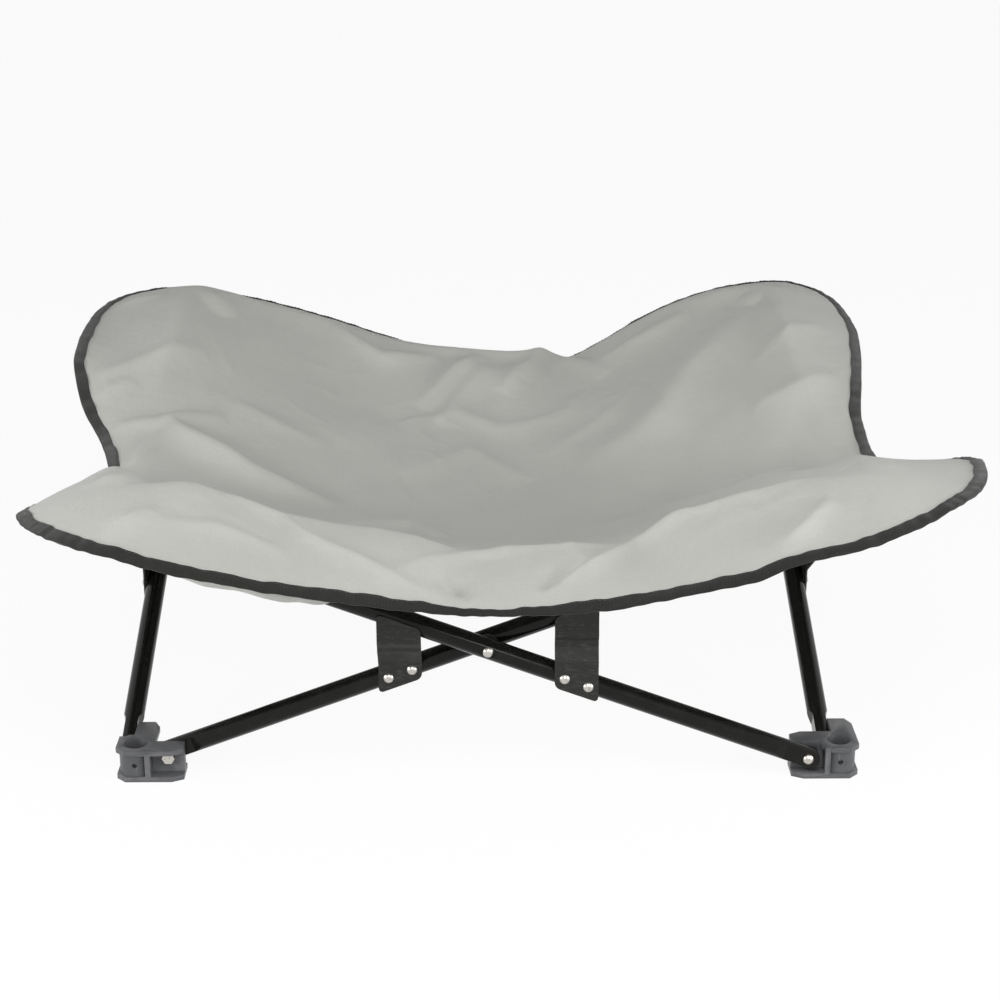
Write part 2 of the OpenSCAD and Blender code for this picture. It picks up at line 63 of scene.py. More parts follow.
class Corner(Enum):
    """The frame's corners, by the direction of each from the middle."""

    FRONT_LEFT = (-1, -1)
    FRONT_RIGHT = (1, -1)
    BACK_RIGHT = (1, 1)
    BACK_LEFT = (-1, 1)

    @property
    def label(self) -> str:
        """The corner's name in the CAD nodes."""
        return self.name.lower()


class Side(Enum):
    """The frame's sides, by the outward direction of each."""

    FRONT = (0, -1)
    RIGHT = (1, 0)
    BACK = (0, 1)
    LEFT = (-1, 0)

    @property
    def label(self) -> str:
        """The side's name in the CAD nodes."""
        return self.name.lower()


class Lane(Enum):
    """The two lanes of a side's crossing tubes, by the distance of each from the middle in metres."""

    OUTER = 0.279
    INNER = 0.261

    @property
    def label(self) -> str:
        """The lane's name in the CAD nodes."""
        return self.name.lower()


class NodeTree:
    """The nodes of a material or a world, with short calls for those that the finishes use."""

    def __init__(self, owner: bpy.types.Material | bpy.types.World) -> None:
        """Starts the nodes.

        Args:
            owner: The material or the world that they belong to.
        """
        owner.use_nodes = True
        self.owner = owner
        self.tree = owner.node_tree

    @classmethod
    def new(cls, name: str) -> "NodeTree":
        """Starts a new material with one shader and its output."""
        return cls(bpy.data.materials.new(name))

    @property
    def shader(self) -> bpy.types.Node:
        """The material's shader."""
        return self.tree.nodes["Principled BSDF"]

    def add(self, kind: str, inputs: dict | None = None, **settings: object) -> bpy.types.Node:
        """Adds a node.

        Args:
            kind: The node's type without its "ShaderNode" start.
            inputs: Values or sockets for its inputs, by name or index.
            settings: Values for its properties.

        Returns:
            The new node.
        """
        node = self.tree.nodes.new("ShaderNode" + kind)
        for key, value in settings.items():
            setattr(node, key, value)
        for key, value in (inputs or {}).items():
            self.feed(node.inputs[key], value)
        return node

    def feed(self, socket: bpy.types.NodeSocket, value: object) -> None:
        """Links a socket to another one, or sets its value.

        Args:
            socket: The socket.
            value: The other socket, or the value.
        """
        if isinstance(value, bpy.types.NodeSocket):
            self.tree.links.new(value, socket)
        else:
            socket.default_value = value

    def shade(self, **values: object) -> None:
        """Feeds the shader's sockets, with _ for a space in their names."""
        for key, value in values.items():
            self.feed(self.shader.inputs[key.replace("_", " ")], value)

    def coords(self, source: str = "Object", scale: tuple = (1, 1, 1)) -> bpy.types.NodeSocket:
        """Gives scaled coordinates."""
        start = self.add("TexCoord").outputs[source]
        return self.add("Mapping", {"Vector": start, "Scale": scale}).outputs["Vector"]

    def noise(self, vector: bpy.types.NodeSocket, scale: float, detail: float = 3.0,
              rough: float = 0.5) -> bpy.types.NodeSocket:
        """Gives a noise's grey value."""
        node = self.add("TexNoise", {"Vector": vector, "Scale": scale, "Detail": detail, "Roughness": rough})
        return node.outputs["Fac"]

    def span(self, value: bpy.types.NodeSocket, low: float, high: float, start: float = 0.0,
             end: float = 1.0) -> bpy.types.NodeSocket:
        """Maps a value from start..end to low..high, clamped."""
        node = self.add("MapRange", {"Value": value, "From Min": start, "From Max": end,
                                     "To Min": low, "To Max": high})
        return node.outputs["Result"]

    def mix(self, share: object, first: object, second: object) -> bpy.types.NodeSocket:
        """Mixes two colours.

        Args:
            share: The second colour's share.
            first: The first colour.
            second: The second colour.

        Returns:
            The mixed colour.
        """
        node = self.add("Mix", data_type="RGBA")
        for socket, value in ((node.inputs[0], share), (node.inputs[6], first), (node.inputs[7], second)):
            self.feed(socket, value)
        return node.outputs[2]

    def math(self, operation: str, first: object, second: object = 0.0) -> bpy.types.NodeSocket:
        """Gives the result of a sum, product or other operation on two values."""
        return self.add("Math", {0: first, 1: second}, operation=operation).outputs[0]

    def bump(self, height: bpy.types.NodeSocket, strength: float, distance: float,
             under: bpy.types.NodeSocket | None = None) -> bpy.types.NodeSocket:
        """Gives a bumped normal.

        Args:
            height: The bumps' height.
            strength: Their strength.
            distance: The height of 1, in metres.
            under: The normal that they lie on, where it isn't the surface's own.

        Returns:
            The normal.
        """
        node = self.add("Bump", {"Height": height, "Strength": strength, "Distance": distance})
        if under is not None:
            self.feed(node.inputs["Normal"], under)
        return node.outputs["Normal"]


Colour = tuple[float, float, float, float]


@dataclass(frozen=True)
class Canvas:
    """Plain-weave canvas that reads the cloth's flat coordinates from its UV map."""

    name: str = "grey_canvas"
    light: Colour = (0.500, 0.505, 0.470, 1)
    dark: Colour = (0.440, 0.445, 0.415, 1)
    threads_per_metre: float = 1100.0
    thread_height: float = 0.0003
    roughness: float = 0.9

    def make(self) -> bpy.types.Material:
        """Builds the material.

        Returns:
            The canvas, with its threads, slubs and soft colour clouds.
        """
        nodes = NodeTree.new(self.name)
        flat = nodes.coords("UV")
        wave = {"Vector": flat, "Scale": self.threads_per_metre * math.pi / 10, "Distortion": 0.6,
                "Detail": 2.0, "Detail Scale": 0.4}
        warp = nodes.add("TexWave", wave, bands_direction="X").outputs["Fac"]
        weft = nodes.add("TexWave", wave, bands_direction="Y").outputs["Fac"]
        weave = nodes.math("MULTIPLY", warp, weft)
        slub = nodes.noise(nodes.coords("UV", (40, 700, 1)), 1.0, 2.0)
        cloud = nodes.noise(flat, 7.0, 4.0, 0.6)
        speck = nodes.noise(flat, 520.0, 2.0)
        shade = nodes.math("ADD", nodes.math("MULTIPLY", cloud, 0.5), nodes.math("MULTIPLY", slub, 0.3))
        shade = nodes.math("ADD", shade, nodes.math("MULTIPLY", speck, 0.35))
        colour = nodes.mix(nodes.span(shade, 0, 1, 0.3, 0.75), self.dark, self.light)
        # Painted shade: the colour darkens towards grey in the gaps between the threads, where the weave is
        # low.
        colour = nodes.mix(nodes.span(weave, 0.12, 0.0), colour, (0.22, 0.22, 0.20, 1))
        creases = nodes.bump(nodes.noise(flat, 26.0, 5.0, 0.62), 0.5, 0.004)
        normal = nodes.bump(weave, 0.7, self.thread_height, creases)
        nodes.shade(Base_Color=colour, Roughness=self.roughness, Normal=normal, Sheen_Weight=0.25,
                    Sheen_Roughness=0.5, Specular_IOR_Level=0.2)
        return nodes.owner


@dataclass(frozen=True)
class RibbedTape:
    """Woven binding tape whose ribs run across it, by the run along it in its UV map; shade is painted in the
    grooves between the ribs.
    """

    name: str = "charcoal_tape"
    light: Colour = (0.025, 0.0255, 0.0225, 1)
    dark: Colour = (0.011, 0.0113, 0.0098, 1)
    ribs_per_metre: float = 900.0
    rib_height: float = 0.0004

    def make(self) -> bpy.types.Material:
        """Builds the material.

        Returns:
            The tape, with cross ribs, painted shade in their grooves and lighter rib tops, partly rubbed and
            partly painted light.
        """
        nodes = NodeTree.new(self.name)
        flat = nodes.coords("UV")
        rib = nodes.add("TexWave", {"Vector": flat, "Scale": self.ribs_per_metre * math.pi / 10,
                                    "Distortion": 0.5, "Detail": 1.0}, bands_direction="X").outputs["Fac"]
        rub_and_highlight = nodes.noise(flat, 90.0, 4.0, 0.6)
        # The colour follows the ribs' height: painted shade in the grooves and lighter rib tops, partly
        # rubbed and partly painted light, lighter where the rub noise is high.
        share = nodes.math("MULTIPLY", rib, nodes.span(rub_and_highlight, 0.25, 1.0, 0.35, 0.7))
        colour = nodes.mix(share, self.dark, self.light)
        nodes.shade(Base_Color=colour, Roughness=nodes.span(rub_and_highlight, 0.62, 0.82), Sheen_Weight=0.2,
                    Sheen_Roughness=0.4, Normal=nodes.bump(rib, 0.8, self.rib_height), Specular_IOR_Level=0.2)
        return nodes.owner


@dataclass(frozen=True)
class GlossCoat:
    """Gloss black powder coat with a faint orange peel and dust."""

    name: str = "gloss_black"
    colour: Colour = (0.0060, 0.0062, 0.0052, 1)
    dust: Colour = (0.022, 0.022, 0.020, 1)

    def make(self) -> bpy.types.Material:
        """Builds the material.

        Returns:
            The coat for the tubes.
        """
        nodes = NodeTree.new(self.name)
        place = nodes.coords()
        haze = nodes.noise(place, 60.0, 5.0, 0.65)
        peel = nodes.noise(place, 900.0, 2.0)
        colour = nodes.mix(nodes.span(haze, 0.0, 0.35, 0.5, 0.8), self.colour, self.dust)
        nodes.shade(Base_Color=colour, Roughness=nodes.span(haze, 0.10, 0.22, 0.3, 0.75), Coat_Weight=0.08,
                    Coat_Roughness=0.06, Specular_IOR_Level=0.14, Normal=nodes.bump(peel, 0.08, 0.0002))
        return nodes.owner


@dataclass(frozen=True)
class MouldedPlastic:
    """Satin moulded plastic with a fine spark grain and edges rubbed lighter."""

    name: str
    colour: Colour
    worn: Colour
    roughness: float = 0.42

    def make(self) -> bpy.types.Material:
        """Builds the material.

        Returns:
            The plastic, with its grain, flow marks and worn edges.
        """
        nodes = NodeTree.new(self.name)
        place = nodes.coords()
        grain = nodes.noise(place, 1400.0, 2.0)
        flow = nodes.noise(place, 70.0, 4.0, 0.6)
        edge = nodes.span(nodes.add("NewGeometry").outputs["Pointiness"], 0, 1, 0.52, 0.62)
        wear = nodes.math("MULTIPLY", edge, nodes.span(flow, 0.2, 1.0, 0.35, 0.65))
        base = nodes.mix(nodes.span(flow, 0.0, 0.3, 0.35, 0.7), self.colour, self.worn)
        nodes.shade(Base_Color=nodes.mix(wear, base, self.worn),
                    Roughness=nodes.span(flow, self.roughness - 0.07, self.roughness + 0.1),
                    Normal=nodes.bump(grain, 0.25, 0.0002))
        return nodes.owner


@dataclass(frozen=True)
class Nickel:
    """Nickel plating with turned marks and a little tarnish."""

    name: str = "nickel"
    bright: Colour = (0.56, 0.54, 0.50, 1)
    tarnish: Colour = (0.28, 0.27, 0.24, 1)

    def make(self) -> bpy.types.Material:
        """Builds the material.

        Returns:
            The metal for rivets, pins and screws.
        """
        nodes = NodeTree.new(self.name)
        place = nodes.coords()
        stain = nodes.noise(place, 500.0, 4.0, 0.6)
        colour = nodes.mix(nodes.span(stain, 0, 1, 0.5, 0.75), self.bright, self.tarnish)
        nodes.shade(Base_Color=colour, Metallic=1.0, Roughness=nodes.span(stain, 0.22, 0.42),
                    Normal=nodes.bump(nodes.noise(place, 2500.0), 0.15, 0.0001))
        return nodes.owner


@dataclass(frozen=True)
class GuardSheet:
    """Black sheet of the finger guards: creased, with pale streaks that are partly rub marks and partly
    painted highlight.
    """

    name: str = "guard_sheet"
    colour: Colour = (0.017, 0.0175, 0.0155, 1)
    rub_and_highlight: Colour = (0.060, 0.060, 0.056, 1)

    def make(self) -> bpy.types.Material:
        """Builds the material.

        Returns:
            The sheet, with pale streaks of scuffs and painted highlight, and a fine leather-like grain.
        """
        nodes = NodeTree.new(self.name)
        place = nodes.coords()
        scuff_and_highlight = nodes.noise(nodes.coords(scale=(1, 1, 3)), 160.0, 5.0, 0.7)
        grain = nodes.add("TexVoronoi", {"Vector": place, "Scale": 1100.0}).outputs["Distance"]
        # The pale streaks are partly rub marks and partly painted highlight, lightened to stand in for the
        # sheet's soft highlights.
        colour = nodes.mix(nodes.span(scuff_and_highlight, 0, 1, 0.52, 0.78), self.colour, self.rub_and_highlight)
        soft = nodes.bump(nodes.noise(place, 75.0, 3.0), 0.5, 0.002)
        nodes.shade(Base_Color=colour, Roughness=nodes.span(scuff_and_highlight, 0.38, 0.6), Specular_IOR_Level=0.25,
                    Normal=nodes.bump(grain, 0.3, 0.0002, soft))
        return nodes.owner


@dataclass
class Studio:
    """Camera, floor, soft lights and the white surround."""

    location: tuple[float, float, float] = (-0.0078, -1.7107, 0.7477)
    pitch_deg: float = 20.0
    yaw_deg: float = -0.675
    lens_mm: float = 75.0
    sensor_mm: float = 36.0
    floor_size: float = 12.0
    fill: float = 0.25
    floor_white: float = 0.93
    lamps: tuple = (
        ("front_key", (0.15, -1.2, 1.2), 0.9, 15.0),
        ("left_box", (-1.2, -0.7, 0.45), 0.5, 8.5),
        ("right_box", (1.2, -0.7, 0.45), 0.5, 8.5))
    lit: tuple[float, float, float] = (0, 0, 0.12)

    def build(self) -> None:
        """Makes the camera, the floor, the lamps and the world."""
        scene = bpy.context.scene
        scene.view_settings.view_transform = "Standard"
        camera = bpy.data.cameras.new("camera")
        camera.lens = self.lens_mm
        camera.sensor_width = self.sensor_mm
        holder = bpy.data.objects.new("camera", camera)
        holder.location = self.location
        holder.rotation_euler = (math.radians(90 - self.pitch_deg), 0, math.radians(self.yaw_deg))
        scene.collection.objects.link(holder)
        scene.camera = holder
        self.make_floor()
        self.make_world()
        for lamp in self.lamps:
            self.make_lamp(*lamp)

    def make_lamp(self, name: str, place: tuple, size: float, watts: float) -> None:
        """Makes one square soft box that faces the cot.

        Args:
            name: The lamp's name.
            place: Its place.
            size: Its width.
            watts: Its power.
        """
        lamp = bpy.data.lights.new(name, "AREA")
        lamp.size = size
        lamp.energy = watts
        holder = bpy.data.objects.new(name, lamp)
        holder.location = place
        holder.rotation_euler = (Vector(self.lit) - Vector(place)).to_track_quat("-Z", "Y").to_euler()
        bpy.context.scene.collection.objects.link(holder)

    @staticmethod
    def white_to_rays(nodes: NodeTree) -> bpy.types.NodeSocket:
        """Tells the rays that see the surround as white from those that light the cot.

        Args:
            nodes: The nodes of the floor or the world.

        Returns:
            1 on rays from the camera, and on mirrored and passed rays.
        """
        path = nodes.add("LightPath").outputs
        seen = nodes.math("MAXIMUM", path["Is Camera Ray"], path["Is Glossy Ray"])
        return nodes.math("MAXIMUM", seen, path["Is Transmission Ray"])

    def make_floor(self) -> None:
        """Makes the pale floor, white except for the cot's shadow."""
        bpy.ops.object.select_all(action="DESELECT")
        bpy.ops.mesh.primitive_plane_add(size=self.floor_size)
        floor = bpy.context.object
        floor.name = "floor"
        nodes = NodeTree.new("pale_floor")
        nodes.shade(Base_Color=(0.9, 0.9, 0.9, 1), Roughness=0.6, Specular_IOR_Level=0.1)
        glow = nodes.add("Emission", {"Color": (1, 1, 1, 1), "Strength": 1.0})
        share = nodes.math("MULTIPLY", self.white_to_rays(nodes), self.floor_white)
        mixed = nodes.add("MixShader", {0: share, 1: nodes.shader.outputs[0], 2: glow.outputs[0]})
        nodes.feed(nodes.tree.nodes["Material Output"].inputs["Surface"], mixed.outputs[0])
        floor.data.materials.append(nodes.owner)

    def make_world(self) -> None:
        """Makes the surround: white to the camera, and a plain soft fill for the cot."""
        world = bpy.data.worlds.new("surround")
        bpy.context.scene.world = world
        nodes = NodeTree(world)
        background = nodes.tree.nodes["Background"].inputs
        nodes.feed(background["Color"], (1, 1, 1, 1))
        nodes.feed(background["Strength"], nodes.span(self.white_to_rays(nodes), self.fill, 1.0))


def new_object(name: str, points: np.ndarray, faces: list, material: bpy.types.Material) -> bpy.types.Object:
    """Makes a mesh object at the origin.

    Args:
        name: The piece's name.
        points: The vertices in metres.
        faces: The faces as lists of vertex numbers.
        material: The finish.

    Returns:
        The new object, shaded smooth.
    """
    mesh = bpy.data.meshes.new(name)
    mesh.from_pydata(points.tolist(), [], faces)
    mesh.materials.append(material)
    mesh.shade_smooth()
    piece = bpy.data.objects.new(name, mesh)
    bpy.context.scene.collection.objects.link(piece)
    return piece


def copy_node(node: str, name: str) -> bpy.types.Object:
    """Copies a CAD node's mesh to a piece of its own, with its points merged and its flat faces joined.

    Args:
        node: The CAD node.
        name: The piece's name.

    Returns:
        The piece, selected and active in object mode.
    """
    piece = bpy.data.objects.new(name, frame["nodes"][node].data.copy())
    bpy.context.scene.collection.objects.link(piece)
    bpy.ops.object.select_all(action="DESELECT")
    piece.select_set(True)
    bpy.context.view_layer.objects.active = piece
    bpy.ops.object.mode_set(mode="EDIT")
    bpy.ops.mesh.select_all(action="SELECT")
    bpy.ops.mesh.remove_doubles(threshold=MERGE_DISTANCE)
    bpy.ops.mesh.dissolve_limited(angle_limit=FLAT_ANGLE)
    bpy.ops.object.mode_set(mode="OBJECT")
    return piece


@dataclass
class FoldingFrame:
    """The scissor frame: gives each CAD node its finish, and rounds the edges of the moulded brackets."""

    finishes: dict[str, bpy.types.Material]
    edge_round: float = 0.0006
    edge_steps: int = 2
    edge_angle: float = math.radians(35)
    smooth_angle: float = math.radians(30)

    def dress(self) -> None:
        """Sets the finish of each rigid CAD node by its material slot, then rounds the brackets."""
        slots = {part["node"]: part["material_slot"] for part in frame["record"]["subparts"]}
        for name, node in frame["nodes"].items():
            material = self.finishes.get(slots[name])
            if material is None:
                continue
            node.data.materials.clear()
            node.data.materials.append(material)
            log.info("dressed %s", name)
        for corner in Corner:
            self.round_bracket(f"foot_{corner.label}", f"foot_{corner.label}")
            self.round_bracket(f"top_bracket_{corner.label}", f"top_{corner.label}")

    def round_bracket(self, node: str, body: str) -> None:
        """Makes a bracket with softly rounded edges in the place of its CAD node.

        Args:
            node: The bracket's node.
            body: The body that it moves with.
        """
        piece = copy_node(node, f"moulded_{node}")
        bevel = piece.modifiers.new("soft_edges", "BEVEL")
        bevel.width = self.edge_round
        bevel.segments = self.edge_steps
        bevel.limit_method = "ANGLE"
        bevel.angle_limit = self.edge_angle
        bpy.ops.object.modifier_apply(modifier=bevel.name)
        bpy.ops.object.shade_smooth_by_angle(angle=self.smooth_angle)
        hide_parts(node)
        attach(piece, body)
        log.info("rounded %s", node)


@dataclass(frozen=True)
class GuardFold:
    """A guard flap's fold, in millimetres: its crease's height, the swell beside it and the nip in it."""

    height: float
    swell: float
    swell_at: float
    swell_width: float
    nip: float
    nip_at: float
    nip_width: float

    def depth(self, z: float) -> float:
        """Gives how far the flap stands out at a height."""
        swell = self.swell * math.exp(-((z - self.height - self.swell_at) / self.swell_width) ** 2)
        return swell - self.nip * math.exp(-((z - self.height - self.nip_at) / self.nip_width) ** 2)


@dataclass
class FingerGuards:
    """The finger guard flaps beside the pivots: stiff sheets, round at the corners and creased by use."""

    folds: dict[Lane, GuardFold] = field(default_factory=lambda: {
        Lane.OUTER: GuardFold(117.0, 2.4, 5.0, 4.2, 0.9, -0.6, 1.8),
        Lane.INNER: GuardFold(110.0, 1.7, -3.0, 3.2, 0.6, 1.2, 1.6)})
    corner_round: float = 0.0042
    corner_steps: int = 4
    cut_height: float = 0.0015
    cut_across: float = 0.0045
    pivot_z: float = 108.0
    tube_slope: float = 0.3755
    held_to: float = 8.5
    free_from: float = 15.0
    sway: float = 0.35
    sway_turns: tuple[tuple[float, float], ...] = ((0.11, 0.07), (0.19, -0.05))
    touch: float = 1e-5
    smooth_angle: float = math.radians(40)

    def build(self) -> None:
        """Makes the flaps of all four sides."""
        for side in Side:
            for lane in Lane:
                self.make_flap(side, lane)

    def make_flap(self, side: Side, lane: Lane) -> None:
        """Makes a creased flap in the place of its CAD node.

        Args:
            side: The flap's side.
            lane: The lane of the tube that it is riveted to.
        """
        node = f"flap_{lane.label}_{side.label}"
        piece = copy_node(node, f"creased_{node}")
        out = Vector((*side.value, 0))
        across = Vector((-side.value[1], side.value[0], 0))
        self.round_corners(piece, across)
        self.cut_up(piece, Vector((0, 0, 1)), self.cut_height)
        self.cut_up(piece, across, self.cut_across)
        self.crease(piece, out, across, self.folds[lane])
        bpy.ops.object.shade_smooth_by_angle(angle=self.smooth_angle)
        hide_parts(node)
        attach(piece, f"{lane.label}_{side.label}")
        log.info("creased %s", node)

    @staticmethod
    def spread(piece: bpy.types.Object, direction: Vector) -> list[float]:
        """Gives the place of each vertex along a direction."""
        return [direction.dot(vertex.co) for vertex in piece.data.vertices]

    def round_corners(self, piece: bpy.types.Object, across: Vector) -> None:
        """Bevels the four corners of a flap, seen from the front.

        Args:
            piece: The flap.
            across: The direction along the flap's side of the cot.
        """
        spots = self.spread(piece, across)
        ends = (min(spots), max(spots))
        bpy.ops.object.mode_set(mode="EDIT")
        bpy.ops.mesh.select_mode(type="EDGE")
        bpy.ops.mesh.select_all(action="DESELECT")
        bpy.ops.object.mode_set(mode="OBJECT")
        points = piece.data.vertices
        for edge in piece.data.edges:
            first, second = edge.vertices
            away = min(max(abs(spots[first] - end), abs(spots[second] - end)) for end in ends)
            rise = abs(points[first].co.z - points[second].co.z)
            edge.select = away < self.touch and rise < self.touch
        bpy.ops.object.mode_set(mode="EDIT")
        bpy.ops.mesh.bevel(offset=self.corner_round, segments=self.corner_steps, affect="EDGES")
        bpy.ops.object.mode_set(mode="OBJECT")

    def cut_up(self, piece: bpy.types.Object, direction: Vector, pitch: float) -> None:
        """Cuts a flap's faces into strips, so that it can bend.

        Args:
            piece: The flap.
            direction: The direction across the strips.
            pitch: The strips' width.
        """
        spots = self.spread(piece, direction)
        count = int((max(spots) - min(spots)) / pitch)
        bpy.ops.object.mode_set(mode="EDIT")
        for step in range(1, count + 1):
            bpy.ops.mesh.select_all(action="SELECT")
            bpy.ops.mesh.bisect(plane_co=direction * (min(spots) + step * pitch), plane_no=direction)
        bpy.ops.object.mode_set(mode="OBJECT")

    def crease(self, piece: bpy.types.Object, out: Vector, across: Vector, fold: GuardFold) -> None:
        """Folds and sways a flap where it is free of its tube.

        Args:
            piece: The flap.
            out: The direction out of the cot.
            across: The direction along the flap's side of the cot.
            fold: The fold.
        """
        for vertex in piece.data.vertices:
            z, x = vertex.co.z / MM, across.dot(vertex.co) / MM
            above = z - (self.pivot_z - abs(x) * self.tube_slope)
            free = min(max((above - self.held_to) / (self.free_from - self.held_to), 0), 1)
            wave = self.sway
            for turn_x, turn_z in self.sway_turns:
                wave *= math.sin(turn_x * x + turn_z * z)
            vertex.co += out * free * (fold.depth(z) + wave) * MM


@dataclass(frozen=True)
class Crease:
    """A fold that stands up from the cloth along a line of plan points, in millimetres."""

    line: tuple[tuple[float, float], ...]
    height: float
    width: float
    fade_power: float = 0.6
    narrowing: float = 1.7

    def lift(self, x: np.ndarray, y: np.ndarray) -> np.ndarray:
        """Gives the fold's height over plan points.

        Args:
            x: Plan coordinates to the right.
            y: Plan coordinates to the back.

        Returns:
            The lift at each point, faded out towards the fold's ends.
        """
        rows = np.array(self.line, float)
        steps = np.linalg.norm(np.diff(rows, axis=0), axis=1)
        ends = np.concatenate([[0], np.cumsum(steps)])
        best = np.full(x.shape, np.inf)
        along = np.zeros(x.shape)
        for k, length in enumerate(steps):
            d = (rows[k + 1] - rows[k]) / length
            t = np.clip((x - rows[k, 0]) * d[0] + (y - rows[k, 1]) * d[1], 0, length)
            away = np.hypot(x - rows[k, 0] - t * d[0], y - rows[k, 1] - t * d[1])
            nearer = away < best
            best = np.where(nearer, away, best)
            along = np.where(nearer, (ends[k] + t) / ends[-1], along)
        fade = np.sin(np.pi * np.clip(along, 0, 1)) ** self.fade_power
        return self.height * fade * np.exp(1 - np.sqrt(1 + (best / self.width * self.narrowing) ** 2))


